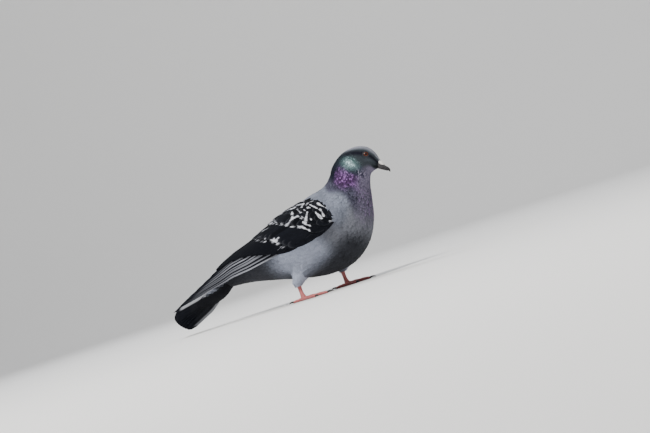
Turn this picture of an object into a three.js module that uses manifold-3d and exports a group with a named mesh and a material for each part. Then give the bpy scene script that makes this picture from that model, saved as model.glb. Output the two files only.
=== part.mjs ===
// A feral pigeon standing with its left foot a step forward, life size, as a still museum model.
// Millimetres, +Z up, +X towards the bill and -Y on the bird's right. The origin is on the floor,
// under the middle of the bounding box. Each named part of the bird is its own closed mesh.

import * as THREE from "three";
import { mergeVertices } from "three/addons/utils/BufferGeometryUtils.js";
import Module from "manifold-3d";

const wasm = await Module();
wasm.setup();

// ---------------------------------------------------------------- sizes

const GAP = 0.3; // left between parts that touch
const GROW = 0.4; // how much fatter a part is where it is used to cut its neighbour clear
const BOX_MIDDLE_X = -4.03; // middle of the bird's length in the frame of the stations

// Cross-sections of the trunk, neck and head. Each spans from a point on the back line to one on the
// belly line, both in the bird's middle plane as [x, z], and is as wide as twice half.
const BODY_STATIONS = [
  { back: [-80, 51], belly: [-76, 38], half: 11 }, // root of the tail
  { back: [-58, 65], belly: [-52, 36], half: 21 },
  { back: [-30, 80], belly: [-22, 30], half: 31 },
  { back: [0, 91.5], belly: [12, 22], half: 39 },
  { back: [27, 100.5], belly: [42, 18], half: 43 }, // deepest part of the belly
  { back: [46, 106.5], belly: [70, 22], half: 42 },
  { back: [59, 109], belly: [92, 37], half: 37.5 },
  { back: [68, 112.5], belly: [105, 58], half: 31 }, // front of the breast
  { back: [75.5, 119.5], belly: [111, 80], half: 24.5 }, // root of the neck
  { back: [81, 128], belly: [114.5, 96], half: 19.5 },
  { back: [90, 135.5], belly: [118.5, 106.5], half: 16.5 }, // throat
  { back: [100.5, 140], belly: [123, 109.5], half: 15 },
  { back: [113, 140.8], belly: [127, 110.5], half: 14 }, // crown
  { back: [123.5, 137.2], belly: [129.4, 110.8], half: 11.5 },
  { back: [130, 129.8], belly: [130.6, 111.2], half: 8.5 },
  { back: [132.8, 122.6], belly: [131, 112.8], half: 5 }, // root of the bill
];
const LAST_STATION = BODY_STATIONS.length - 1;
const NECK_STATION = 7.6;
const HEAD_STATION = 10.2;
const STATION_GAP = 0.04; // a gap of about GAP between two lengths of the body, in stations
const WIDEST_RISE = 0.12; // how far above its middle a section is widest, as a share of its half height
const BODY_SIDES = 24;

// The folded right wing: its upper edge, its lower edge and how far it bulges out between them.
const WING_STATIONS = [
  { upper: [87, -32, 86], lower: [87, -33.5, 81], bulge: 0.5 }, // wrist
  { upper: [77, -28, 94.5], lower: [79, -41, 72], bulge: 4 },
  { upper: [60, -21, 101.5], lower: [62, -46.5, 62.5], bulge: 7 },
  { upper: [40, -15, 102.5], lower: [40, -48.5, 58], bulge: 9.5 },
  { upper: [14, -13, 97], lower: [14, -47, 54.5], bulge: 10 },
  { upper: [-10, -12, 89.5], lower: [-12, -42, 51.5], bulge: 9 },
  { upper: [-36, -11, 80], lower: [-38, -34.5, 49], bulge: 6.5 },
  { upper: [-60, -10, 72.5], lower: [-60, -28.5, 47], bulge: 4 },
  { upper: [-84, -10, 63], lower: [-84, -24, 41], bulge: 2 },
  { upper: [-113, -12, 50.5], lower: [-113, -21, 36], bulge: 1 },
  { upper: [-150, -16, 32], lower: [-150, -17.5, 29], bulge: 0.2 }, // tip of the longest primary
];
const WING_CORE_END = 0.66; // where the arm and its skin end, as a share of the wing's length
const WING_CORE_STEPS = 11;
const WING_ROOM_END = 0.9; // the trunk stays clear of the wing this far
const WING_ROOM_STEPS = 15;
const WING_ROOM_OUT = 12;
const WING_CORE_COLUMNS = 6;
const WING_THICK = { wrist: 2.6, front: 8, end: 4.4 };
const WING_FRONT = 0.1; // where the wing is thickest, as a share of its length

// Feathers that lie on the wing, tier by tier from the tip forwards. Places on the wing are
// [share of its length, share of its width]: root and tip of the tier's upper and lower feather.
// Each feather is wide mm wide, stands lift mm off the skin at its tip, where its underside lies
// depth mm below the skin.
const WING_TIERS = [
  {
    name: "secondaries",
    count: 7,
    upper: [0.46, 0.08, 0.8, 0.14],
    lower: [0.36, 0.86, 0.62, 0.82],
    wide: 14,
    lift: 0.6,
    depth: 0.2,
  },
  {
    name: "greater coverts",
    count: 7,
    upper: [0.36, 0.1, 0.55, 0.2],
    lower: [0.22, 0.88, 0.38, 0.88],
    wide: 12,
    lift: 1.2,
    depth: 1.2,
  },
  {
    name: "median coverts",
    count: 6,
    upper: [0.27, 0.12, 0.41, 0.2],
    lower: [0.13, 0.84, 0.24, 0.87],
    wide: 12,
    lift: 1.7,
    depth: 1.2,
  },
  {
    name: "lesser coverts",
    count: 5,
    upper: [0.18, 0.15, 0.3, 0.22],
    lower: [0.07, 0.78, 0.15, 0.82],
    wide: 12,
    lift: 2.1,
    depth: 1.2,
  },
  {
    name: "scapulars",
    count: 4,
    upper: [0.12, 0.12, 0.3, 0.1],
    lower: [0.3, 0.12, 0.5, 0.1],
    wide: 13,
    lift: 2.4,
    depth: 1.2,
  },
];
const VANE_SINK = 0.5; // how far below the skin a vane's root starts
const VANE_DEPTH = 1.2; // how far below the skin its underside is, at the root
const VANE_TILT = 0.3; // how far a vane's lower side stands off above its upper side
const VANE_ROWS = [
  [0, 0.8],
  [0.5, 1],
  [0.86, 0.85],
  [1, 0.3],
]; // share of the vane's length, share of its full width

// The stack of long flight feathers that makes the wing's point, from the outermost, at the wing's
// lower edge, to the innermost, which lies furthest out.
const PRIMARY_COUNT = 7;
const PRIMARY_ROOT = 0.5; // where they leave the arm, as a share of the wing's length
const PRIMARY_TIPS = [0.992, 1, 0.962, 0.922, 0.88, 0.84, 0.8];
const PRIMARY_WIDE = 11;
const PRIMARY_THICK = 0.8;
const PRIMARY_STEP = 0.55; // each lies this much further out than the one before it
const PRIMARY_SINK = 0.4; // how far below the skin the innermost one lies
const PRIMARY_ROWS = [
  [0, 1],
  [0.4, 1],
  [0.72, 0.95],
  [0.92, 0.66],
  [1, 0.16],
];

// The tail: flat vanes in a stack, the middle pair on top, fanned out from a hub inside the rump.
const TAIL_HUB = [-66, 0, 46.5];
const TAIL_END = [-147, -20, 19.5]; // swung to the right
const TAIL_TWIST_DEG = 26; // the right edge is carried higher than the left
const TAIL_PAIRS = 6;
const TAIL_FAN_DEG = 12; // turn of the outermost vane from the middle
const TAIL_ROOT_REACH = 24; // from the hub to the vanes' roots
const TAIL_ROOT_SPREAD = 3; // how far out the outermost vane's root is shifted
const TAIL_ROUNDING = 3.5; // how much shorter the outermost vanes are than the middle ones
const TAIL_SLANT = 8; // how much further the leftmost vane reaches, and the rightmost less far
const TAIL_WIDE = 15;
const TAIL_THICK = 1;
const TAIL_STEP = 0.7; // each pair lies this much lower than the one inside it
const TAIL_ROWS = [
  [0, 0.6],
  [0.5, 0.85],
  [0.85, 1],
  [0.96, 0.8],
  [1, 0.4],
];
const TAIL_COVERT_DROP = 2; // the coverts' middle lies this much below the hub's line
// Sections of the coverts that cover the tail's root: reach from the hub, half width and half height.
const TAIL_COVERTS = [
  { reach: 27, half: 14.5, thick: 6, twist: 14 },
  { reach: 42, half: 15.5, thick: 4, twist: 22 },
  { reach: 53, half: 12.5, thick: 2.6, twist: 26 },
  { reach: 59, half: 6, thick: 1.4, twist: 26 },
];

// The right leg, in the middle planes of its parts; the left one stands STRIDE further forward.
const STRIDE = 36;
const LEG_Y = -23.5;
// Feathered thigh: centre [x, z] of each section, its half length and its half width.
const BOOT_SECTIONS = [
  { centre: [33, 53], long: 12, wide: 9 },
  { centre: [30, 45], long: 14, wide: 12 },
  { centre: [24.5, 35.5], long: 11.5, wide: 11.5 },
  { centre: [18, 28], long: 9.6, wide: 9.6 },
  { centre: [12.5, 21.6], long: 8, wide: 7.6 },
  { centre: [10.4, 17.6], long: 5, wide: 4.8 },
];
const BOOT_SIDES = 12;
const BOOT_OUT = -1.5; // the boot's middle lies this much further out than the foot's

// Shank from the boot to the ball of the foot: centre [x, z] and radius.
const SHANK_SECTIONS = [
  { centre: [9.6, 17.2], radius: 2.6 },
  { centre: [9.8, 12], radius: 2.2 },
  { centre: [10.2, 7.5], radius: 2.4 },
  { centre: [10.8, 3.6], radius: 3.3 },
  { centre: [11, 1.2], radius: 3.6 },
  { centre: [11, 0], radius: 3.3 },
];
const SHANK_SIDES = 10;
const FOOT_X = 11;

// Toes of the right foot: turn from straight ahead, length and thickness, and the claw's length.
const TOES = [
  { name: "middle", turn: 3, length: 28, thick: 4.2, claw: 7 },
  { name: "inner", turn: 40, length: 20, thick: 3.9, claw: 6 },
  { name: "outer", turn: -33, length: 22, thick: 3.9, claw: 5.5 },
  { name: "hind", turn: 172, length: 14, thick: 3.7, claw: 6 },
];
// Share of a toe's length and share of its thickness there: swollen at the joints.
const TOE_ROWS = [
  [0, 1.05],
  [0.2, 0.88],
  [0.36, 1],
  [0.54, 0.82],
  [0.7, 0.92],
  [0.88, 0.78],
  [1, 0.62],
];
// Half of a toe's section, as shares of its half width and its height, from the flat sole up.
const TOE_SECTION = [
  [0.55, 0],
  [1, 0.32],
  [0.92, 0.72],
  [0.4, 1],
];
// The claw's middle line: share of its length, height and radius.
const CLAW_ROWS = [
  { share: 0, height: 1.35, radius: 1.05 },
  { share: 0.35, height: 1.75, radius: 0.95 },
  { share: 0.7, height: 1.45, radius: 0.65 },
  { share: 1, height: 0.55, radius: 0.18 },
];
const CLAW_SIDES = 6;

// The bill: the corner where its mouth line meets the face, its slope, and its length from there.
const BILL_CORNER = [128.6, 114.8];
const BILL_SLOPE_DEG = -40;
const BILL_LENGTH = 17;
const MOUTH_GAP = 0.4;
// Share of the length, half width, height above or below the mouth line, and the line's own drop.
const UPPER_BILL_ROWS = [
  { share: 0, half: 4, high: 5.6, drop: 0 },
  { share: 0.3, half: 3.1, high: 4.4, drop: 0 },
  { share: 0.55, half: 2.4, high: 3, drop: 0 },
  { share: 0.78, half: 1.9, high: 2.7, drop: 0 },
  { share: 0.92, half: 1.3, high: 2.3, drop: 0.7 },
  { share: 1, half: 0.5, high: 1, drop: 1.5 },
];
const LOWER_BILL_ROWS = [
  { share: 0, half: 3.8, high: 3.4, drop: 0 },
  { share: 0.3, half: 2.8, high: 2.5, drop: 0 },
  { share: 0.6, half: 1.9, high: 1.7, drop: 0 },
  { share: 0.78, half: 1.3, high: 1.2, drop: 0 },
  { share: 0.85, half: 0.7, high: 0.6, drop: 0 },
];
const CERE_LOBE = { along: 5.4, above: 4.3, side: 1.7, long: 4, wide: 2.2, high: 1.7 };
const NOSTRIL = { along: 8, above: 2.6, length: 3, height: 0.7, depth: 1 };
const GAPE = { length: 5, height: 0.7, depth: 1.1 };

// The eye, on the head's skin at a station and an angle from the back line.
const EYE_STATION = 12.9;
const EYE_ANGLE_DEG = 73;
const EYE_RADIUS = 4.6;
const EYE_SUNK = 3.2; // the eyeball's centre lies this far under the skin
const LID_RADIUS = 4;
const LID_THICK = 0.65;
const LID_SUNK = 0.3;
const EYE_STEPS = [14, 9];

// ---------------------------------------------------------------- solids

// A closed geometry with its faces turned outwards.
function closedGeometry(points, faces) {
  let volume = 0;
  for (const [i, j, k] of faces) {
    volume += points[i].dot(new THREE.Vector3().crossVectors(points[j], points[k]));
  }
  const index = faces.flatMap(([i, j, k]) => (volume < 0 ? [i, k, j] : [i, j, k]));
  return new THREE.BufferGeometry().setFromPoints(points).setIndex(index);
}

// A closed three.js geometry as a manifold-3d solid.
function solidOf(geometry) {
  const bare = geometry.clone();
  for (const name of Object.keys(bare.attributes)) {
    if (name !== "position") bare.deleteAttribute(name);
  }
  const merged = mergeVertices(bare, 1e-4);
  return new wasm.Manifold(
    new wasm.Mesh({
      numProp: 3,
      vertProperties: merged.attributes.position.array,
      triVerts: new Uint32Array(merged.index.array),
    }),
  );
}

// A manifold-3d solid as a three.js geometry.
function geometryOf(solid) {
  const { numProp, vertProperties, triVerts } = solid.getMesh();
  const points = [];
  for (let i = 0; i < vertProperties.length; i += numProp) {
    points.push(new THREE.Vector3().fromArray(vertProperties, i));
  }
  return new THREE.BufferGeometry().setFromPoints(points).setIndex([...triVerts]);
}

// The largest closed body of a solid, without any scrap that hangs loose or hollow that was sealed.
function largestOf(solid) {
  return solid.decompose().reduce((most, body) => (body.volume() > most.volume() ? body : most));
}

const joined = (solids) => largestOf(wasm.Manifold.union(solids));

// The same solid on the other side of the bird's middle plane, moved forward by a stride.
function mirrored(solid, forward = 0) {
  const { attributes, index } = geometryOf(solid).scale(1, -1, 1).translate(forward, 0, 0);
  const points = [];
  for (let i = 0; i < attributes.position.count; i++) {
    points.push(new THREE.Vector3().fromBufferAttribute(attributes.position, i));
  }
  const faces = [];
  for (let i = 0; i < index.count; i += 3) faces.push([...index.array.slice(i, i + 3)]);
  return solidOf(closedGeometry(points, faces));
}

// A closed skin over rings of matching points, its two ends closed by fans.
function loft(rings) {
  const sides = rings[0].length;
  const points = rings.flat();
  const faces = [];
  for (let r = 0; r + 1 < rings.length; r++) {
    for (let s = 0; s < sides; s++) {
      const [a, b] = [r * sides + s, r * sides + ((s + 1) % sides)];
      faces.push([a, b, b + sides], [a, b + sides, a + sides]);
    }
  }
  for (const r of [0, rings.length - 1]) {
    const middle = rings[r].reduce((sum, p) => sum.add(p), new THREE.Vector3()).divideScalar(sides);
    const hub = points.push(middle) - 1;
    for (let s = 0; s < sides; s++) {
      const [a, b] = [r * sides + s, r * sides + ((s + 1) % sides)];
      faces.push(r === 0 ? [hub, b, a] : [hub, a, b]);
    }
  }
  return closedGeometry(points, faces);
}

// A thin plate between two matching grids of points, split into triangles alike on both faces.
function plate(outer, inner) {
  const [rows, columns] = [outer.length, outer[0].length];
  const points = [...outer.flat(), ...inner.flat()];
  const under = rows * columns;
  const at = (r, c) => r * columns + c;
  const faces = [];
  const wall = (a, b) => faces.push([a, a + under, b + under], [a, b + under, b]);
  for (let r = 0; r + 1 < rows; r++) {
    for (let c = 0; c + 1 < columns; c++) {
      const [p, q, s, t] = [at(r, c), at(r, c + 1), at(r + 1, c + 1), at(r + 1, c)];
      faces.push([p, q, s], [p, s, t]);
      faces.push([p + under, s + under, q + under], [p + under, t + under, s + under]);
    }
  }
  for (let c = 0; c + 1 < columns; c++) {
    wall(at(0, c), at(0, c + 1));
    wall(at(rows - 1, c + 1), at(rows - 1, c));
  }
  for (let r = 0; r + 1 < rows; r++) {
    wall(at(r + 1, 0), at(r, 0));
    wall(at(r, columns - 1), at(r + 1, columns - 1));
  }
  return closedGeometry(points, faces);
}

const lerp = THREE.MathUtils.lerp;
const radians = THREE.MathUtils.degToRad;
const shares = (count) => Array.from({ length: count }, (_, i) => (count > 1 ? i / (count - 1) : 0));
const curveOf = (points) =>
  new THREE.CatmullRomCurve3(
    points.map((p) => new THREE.Vector3(...p)),
    false,
    "catmullrom",
    0.5,
  );

// -grow at the first of a row of shares, +grow at the last and nothing between.
const endGrow = (share, grow) => (share === 0 ? -grow : share === 1 ? grow : 0);

// A ring of points round a centre: right and up are its half axes.
function ellipse(centre, right, up, sides) {
  return shares(sides + 1)
    .slice(0, -1)
    .map((share) => {
      const angle = 2 * Math.PI * share;
      return centre.clone().addScaledVector(right, Math.cos(angle)).addScaledVector(up, Math.sin(angle));
    });
}

// ---------------------------------------------------------------- trunk, neck and head

const backLine = curveOf(BODY_STATIONS.map(({ back, half }) => [back[0], half, back[1]]));
const bellyLine = curveOf(BODY_STATIONS.map(({ belly }) => [belly[0], 0, belly[1]]));

// A point of the body's skin at a station, which need not be a whole number, and an angle from the
// back line, positive on the bird's left.
function bodyPoint(station, angle, grow = 0) {
  const back = backLine.getPoint(station / LAST_STATION);
  const belly = bellyLine.getPoint(station / LAST_STATION);
  const half = back.y + grow;
  const middle = new THREE.Vector3((back.x + belly.x) / 2, 0, (back.z + belly.z) / 2);
  const up = new THREE.Vector3((back.x - belly.x) / 2, 0, (back.z - belly.z) / 2);
  up.setLength(up.length() + grow);
  const [c, s] = [Math.cos(angle), Math.sin(angle)];
  return new THREE.Vector3(0, half * s, 0).addScaledVector(up, c + WIDEST_RISE * s * s).add(middle);
}

function bodyRing(station, grow) {
  const turns = shares(BODY_SIDES + 1).slice(0, -1);
  return turns.map((share) => bodyPoint(station, 2 * Math.PI * share, grow));
}

// The length of body between two stations, in a number of steps.
function bodyLength(from, to, steps, grow = 0) {
  return loft(shares(steps + 1).map((share) => bodyRing(lerp(from, to, share), grow)));
}

// ---------------------------------------------------------------- wings

const wingUpper = curveOf(WING_STATIONS.map(({ upper }) => upper));
const wingLower = curveOf(WING_STATIONS.map(({ lower }) => lower));
const wingBulge = curveOf(WING_STATIONS.map(({ bulge }) => [bulge, 0, 0]));

// A point of the right wing's outer skin. along runs from wrist to tip, down from upper to lower edge.
function wingPoint(along, down) {
  const upper = wingUpper.getPoint(along);
  const chord = wingLower.getPoint(along).sub(upper);
  const length = wingUpper.getTangent(along);
  const out = new THREE.Vector3().crossVectors(chord, length).normalize();
  if (out.y > 0) out.negate();
  const bulge = wingBulge.getPoint(along).x * 4 * down * (1 - down);
  return upper.addScaledVector(chord, down).addScaledVector(out, bulge);
}

// The skin's point, outward normal and its two slopes.
function wingFrame(along, down) {
  const step = 0.004;
  const [a0, a1] = [Math.max(along - step, 0), Math.min(along + step, 1)];
  const byAlong = wingPoint(a1, down).sub(wingPoint(a0, down)).divideScalar(a1 - a0);
  const byDown = wingPoint(along, down + step).sub(wingPoint(along, down - step)).divideScalar(2 * step);
  const normal = new THREE.Vector3().crossVectors(byDown, byAlong).normalize();
  if (normal.y > 0) normal.negate();
  return { point: wingPoint(along, down), normal, byAlong, byDown };
}

// The slab between two depths under the wing's skin, from the wrist to a share of its length.
function wingSlab(end, steps, grow, outerRise, innerDepth) {
  const rings = shares(steps + 1).map((share) => {
    const along = end * share;
    const past = wingUpper.getTangent(along).multiplyScalar(endGrow(share, grow));
    const skin = shares(WING_CORE_COLUMNS).map((down) => {
      const { point, normal, byDown } = wingFrame(along, down);
      return { point: point.addScaledVector(byDown.normalize(), endGrow(down, grow)).add(past), normal };
    });
    const layer = (height) =>
      skin.map(({ point, normal }) => point.clone().addScaledVector(normal, height));
    return [...layer(outerRise), ...layer(-innerDepth(along)).reverse()];
  });
  return solidOf(loft(rings));
}

// How thick the arm and its skin are, from the outside in.
function wingThickness(along) {
  const { wrist, front, end } = WING_THICK;
  if (along < WING_FRONT) return lerp(wrist, front, along / WING_FRONT);
  return lerp(front, end, Math.min((along - WING_FRONT) / (WING_CORE_END - WING_FRONT), 1));
}

// The place on the wing a given distance to the side of another, kept inside the wing's edges.
function wingSpotBeside({ byAlong: p, byDown: q }, along, down, across, reach) {
  const [pp, pq, qq] = [p.dot(p), p.dot(q), q.dot(q)];
  const [pw, qw] = [p.dot(across), q.dot(across)];
  const area = pp * qq - pq * pq;
  const byLength = (reach * (pw * qq - qw * pq)) / area;
  const byWidth = (reach * (qw * pp - pw * pq)) / area;
  const clamp = THREE.MathUtils.clamp;
  return wingFrame(clamp(along + byLength, 0.01, 1), clamp(down + byWidth, 0.03, 0.97));
}

// A rounded vane that lies on the wing, from its root to its tip, both as shares of length and width.
function wingVane(root, tip, { wide, lift, depth }) {
  const rows = VANE_ROWS.map(([share, fullness]) => {
    const [along, down] = [lerp(root[0], tip[0], share), lerp(root[1], tip[1], share)];
    const frame = wingFrame(along, down);
    const heading = frame.byAlong.clone().multiplyScalar(tip[0] - root[0]);
    heading.addScaledVector(frame.byDown, tip[1] - root[1]);
    const across = new THREE.Vector3().crossVectors(frame.normal, heading).normalize();
    if (across.z > 0) across.negate();
    return [-1, 1].map((side) => {
      const { point, normal } = wingSpotBeside(frame, along, down, across, (side * wide * fullness) / 2);
      const height = lerp(-VANE_SINK, lift, share) + VANE_TILT * side;
      const top = point.clone().addScaledVector(normal, height);
      return { top, underside: point.addScaledVector(normal, -lerp(VANE_DEPTH, depth, share)) };
    });
  });
  return plate(
    rows.map((row) => row.map(({ top }) => top)),
    rows.map((row) => row.map(({ underside }) => underside)),
  );
}

function tierVanes(tier) {
  return shares(tier.count).map((share) => {
    const place = tier.upper.map((value, i) => lerp(value, tier.lower[i], share));
    return wingVane(place.slice(0, 2), place.slice(2), tier);
  });
}

// A primary, which leaves the arm and lies free of it beside the others.
function primaryVane(order, grow) {
  const tipAlong = PRIMARY_TIPS[order];
  const rows = PRIMARY_ROWS.map(([share, fullness]) => {
    const along = lerp(PRIMARY_ROOT, tipAlong, share);
    const onward = wingUpper.getTangent(along);
    const width = wingUpper.getPoint(along).distanceTo(wingLower.getPoint(along));
    const half = Math.min((PRIMARY_WIDE * fullness) / 2, width / 2);
    const rise = lerp(half, width - half, order / PRIMARY_COUNT);
    const sink = (PRIMARY_SINK + (PRIMARY_COUNT - 1 - order) * PRIMARY_STEP) * lerp(1, 0.5, share);
    return [1, -1].map((side) => {
      const { point, normal, byDown } = wingFrame(along, 1 - (rise + side * half) / width);
      point.addScaledVector(byDown.normalize(), -side * grow);
      point.addScaledVector(onward, endGrow(share, grow));
      return { point: point.addScaledVector(normal, -sink), out: normal };
    });
  });
  const raised = ({ point, out }, height) => point.clone().addScaledVector(out, height);
  const face = (height) => rows.map((row) => row.map((spot) => raised(spot, height)));
  return solidOf(plate(face(grow), face(-PRIMARY_THICK - grow)));
}

const primaries = (grow) => shares(PRIMARY_COUNT).map((_, order) => primaryVane(order, grow));

const wingCore = wingSlab(WING_CORE_END, WING_CORE_STEPS, 0, 0, wingThickness);
const wing = joined([wingCore, ...WING_TIERS.flatMap(tierVanes).map(solidOf), ...primaries(0)]);

// What the trunk leaves free for the right wing: the arm itself and all that lies outside it.
const wingRoom = wasm.Manifold.union([
  wingSlab(WING_ROOM_END, WING_ROOM_STEPS, GROW, GROW, (along) => wingThickness(along) + GROW),
  wingSlab(WING_ROOM_END, WING_ROOM_STEPS, 2 * GROW, WING_ROOM_OUT, () => 0),
]);

// ---------------------------------------------------------------- tail

const tailHub = new THREE.Vector3(...TAIL_HUB);
const tailOnward = new THREE.Vector3(...TAIL_END).sub(tailHub);
const TAIL_LENGTH = tailOnward.length();
tailOnward.normalize();

// The tail's sideways and upward directions where it is twisted by some degrees.
function tailAxes(twist) {
  const left = new THREE.Vector3(0, 1, 0).applyAxisAngle(tailOnward, radians(twist));
  return { left, up: new THREE.Vector3().crossVectors(left, tailOnward) };
}

// A tail feather. order counts outwards from the middle, side is -1 on the bird's right.
function tailVane(order, side) {
  const { left, up } = tailAxes(TAIL_TWIST_DEG);
  const outerness = (order + 0.5) / (TAIL_PAIRS - 0.5);
  const turn = radians(side * TAIL_FAN_DEG * outerness);
  const onward = tailOnward.clone().multiplyScalar(Math.cos(turn)).addScaledVector(left, Math.sin(turn));
  const across = new THREE.Vector3().crossVectors(up, onward);
  const root = tailHub.clone().addScaledVector(left, side * TAIL_ROOT_SPREAD * outerness);
  root.addScaledVector(up, -TAIL_STEP * (order + (side > 0 ? 0.5 : 0)));
  const tip = TAIL_LENGTH + outerness * (side * TAIL_SLANT - outerness * TAIL_ROUNDING);
  const face = (height) =>
    TAIL_ROWS.map(([share, fullness]) => {
      const middle = root.clone().addScaledVector(onward, lerp(TAIL_ROOT_REACH, tip, share));
      middle.addScaledVector(up, height);
      const half = (TAIL_WIDE * fullness) / 2;
      return [half, -half].map((side) => middle.clone().addScaledVector(across, side));
    });
  return solidOf(plate(face(0), face(-TAIL_THICK)));
}

// The coverts round the tail's root, from the end of the trunk.
function tailCovertRings() {
  const first = bodyRing(0, -0.3).map((point) => point.addScaledVector(tailOnward, GAP));
  const spin = BODY_SIDES / 4; // the body's rings start on the back, the ellipses on the left
  const rings = TAIL_COVERTS.map(({ reach, half, thick, twist }) => {
    const { left, up } = tailAxes(twist);
    const centre = tailHub.clone().addScaledVector(tailOnward, reach);
    centre.addScaledVector(up, -TAIL_COVERT_DROP);
    const ring = ellipse(centre, left.multiplyScalar(half), up.multiplyScalar(thick), BODY_SIDES);
    return ring.map((_, i) => ring[(spin - i + BODY_SIDES) % BODY_SIDES]);
  });
  return [first, ...rings];
}

const tailVanes = shares(TAIL_PAIRS).flatMap((_, order) => [tailVane(order, -1), tailVane(order, 1)]);
const tailWhole = joined([solidOf(loft(tailCovertRings())), ...tailVanes]);
const grownPrimaries = wasm.Manifold.union(primaries(GROW));
const tail = largestOf(tailWhole.subtract(grownPrimaries.add(mirrored(grownPrimaries))));

// ---------------------------------------------------------------- legs

// The feathered thigh of the right leg.
function boot(grow) {
  const rings = BOOT_SECTIONS.map(({ centre, long, wide }, i) => {
    const end = endGrow(i / (BOOT_SECTIONS.length - 1), grow);
    const middle = new THREE.Vector3(centre[0], LEG_Y + BOOT_OUT, centre[1] - end);
    const [right, up] = [new THREE.Vector3(long + grow, 0, 0), new THREE.Vector3(0, wide + grow, 0)];
    return ellipse(middle, right, up, BOOT_SIDES);
  });
  return solidOf(loft(rings));
}

// The shank, round, down to the flat ball of the foot.
function shank() {
  const rings = SHANK_SECTIONS.map(({ centre, radius }) => {
    const middle = new THREE.Vector3(centre[0], LEG_Y, centre[1]);
    const [right, up] = [new THREE.Vector3(radius, 0, 0), new THREE.Vector3(0, radius, 0)];
    return ellipse(middle, right, up, SHANK_SIDES);
  });
  return loft(rings);
}

const ballOfFoot = new THREE.Vector3(FOOT_X, LEG_Y, 0);
const UP = new THREE.Vector3(0, 0, 1);

// A toe of the right foot: its direction, and its sideways direction.
function toeAxes(turn) {
  const onward = new THREE.Vector3(1, 0, 0).applyAxisAngle(UP, radians(turn));
  return { onward, across: new THREE.Vector3().crossVectors(UP, onward) };
}

function toe({ turn, length, thick }) {
  const { onward, across } = toeAxes(turn);
  const outline = [...TOE_SECTION, ...TOE_SECTION.map(([w, h]) => [-w, h]).reverse()];
  const rings = TOE_ROWS.map(([share, swell]) => {
    const middle = ballOfFoot.clone().addScaledVector(onward, share * length);
    const high = thick * swell * lerp(1, 0.85, share);
    return outline.map(([w, h]) =>
      middle.clone().addScaledVector(across, (w * high) / 2).addScaledVector(UP, h * high),
    );
  });
  return loft(rings);
}

function claw({ turn, length, claw: reach }) {
  const { onward, across } = toeAxes(turn);
  const rings = CLAW_ROWS.map(({ share, height, radius }) => {
    const middle = ballOfFoot.clone().addScaledVector(onward, length + GAP + share * reach);
    middle.z = height;
    const [right, up] = [across.clone().multiplyScalar(radius), UP.clone().multiplyScalar(radius)];
    return ellipse(middle, right, up, CLAW_SIDES);
  });
  return solidOf(loft(rings));
}

const bootRight = boot(0);
const bootRoom = boot(GROW);
const footRight = joined([shank(), ...TOES.map(toe)].map(solidOf));

// ---------------------------------------------------------------- head

// The bill's own directions: onward to its tip and up off its mouth line.
const TO_RIGHT = new THREE.Vector3(0, -1, 0);
const billOnward = new THREE.Vector3(1, 0, 0).applyAxisAngle(TO_RIGHT, radians(BILL_SLOPE_DEG));
const billUp = new THREE.Vector3().crossVectors(TO_RIGHT, billOnward);
const billCorner = new THREE.Vector3(BILL_CORNER[0], 0, BILL_CORNER[1]);

function billSpot(along, above, side) {
  const spot = billCorner.clone().addScaledVector(billOnward, along).addScaledVector(billUp, above);
  return spot.setY(side);
}

// Half of the section of a bill half, as shares of its half width and height, from the mouth line.
const BILL_SECTION = [
  [1, 0],
  [0.94, 0.45],
  [0.62, 0.84],
  [0, 1],
];

function billHalf(rows, turn, grow = 0) {
  const outline = [...BILL_SECTION, ...BILL_SECTION.slice(0, -1).map(([w, h]) => [-w, h]).reverse()];
  const rings = rows.map(({ share, half, high, drop }) => {
    const along = share * BILL_LENGTH + (share === rows.at(-1).share ? grow : 0);
    const start = (turn * MOUTH_GAP) / 2 - drop - turn * grow;
    const [wide, tall] = [half + grow, turn * (high + 2 * grow)];
    return outline.map(([w, h]) => billSpot(along, start + h * tall, w * wide));
  });
  return solidOf(loft(rings));
}

// A box with its middle on the bill's own axes, sunk into the side at a half width.
function sideSlot({ length, height, depth }, along, above, halfWidth, side) {
  const box = new THREE.BoxGeometry(length, 2 * depth, height);
  box.rotateY(-radians(BILL_SLOPE_DEG));
  const { x, y, z } = billSpot(along, above, side * halfWidth);
  return solidOf(box.translate(x, y, z));
}

function onBothSides(make) {
  return wasm.Manifold.union([make(-1), make(1)]);
}

const eyeAngle = (side) => side * radians(EYE_ANGLE_DEG);
const skinAtEye = bodyPoint(EYE_STATION, eyeAngle(1));
const eyeOut = new THREE.Vector3()
  .crossVectors(
    bodyPoint(EYE_STATION, eyeAngle(1) + 0.1).sub(skinAtEye),
    bodyPoint(EYE_STATION + 0.1, eyeAngle(1)).sub(skinAtEye),
  )
  .normalize();
if (eyeOut.y < 0) eyeOut.negate();
const eyeCentre = skinAtEye.clone().addScaledVector(eyeOut, -EYE_SUNK);

function lidRing(side) {
  const ring = new THREE.TorusGeometry(LID_RADIUS, LID_THICK, 5, 14);
  const out = eyeOut.clone().setY(side * eyeOut.y);
  ring.applyQuaternion(new THREE.Quaternion().setFromUnitVectors(new THREE.Vector3(0, 0, 1), out));
  const { x, y, z } = skinAtEye.clone().addScaledVector(eyeOut, -LID_SUNK);
  return solidOf(ring.translate(x, side * y, z));
}

function eyeSocket(side) {
  const ball = new THREE.SphereGeometry(EYE_RADIUS + GAP, ...EYE_STEPS);
  return solidOf(ball.translate(eyeCentre.x, side * eyeCentre.y, eyeCentre.z));
}

function cereLobe(side) {
  const { along, above, long, wide, high } = CERE_LOBE;
  const lobe = new THREE.SphereGeometry(1, 10, 7).scale(long, wide, high);
  lobe.rotateY(-radians(BILL_SLOPE_DEG));
  const { x, y, z } = billSpot(along, above, side * CERE_LOBE.side);
  return solidOf(lobe.translate(x, y, z));
}

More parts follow.
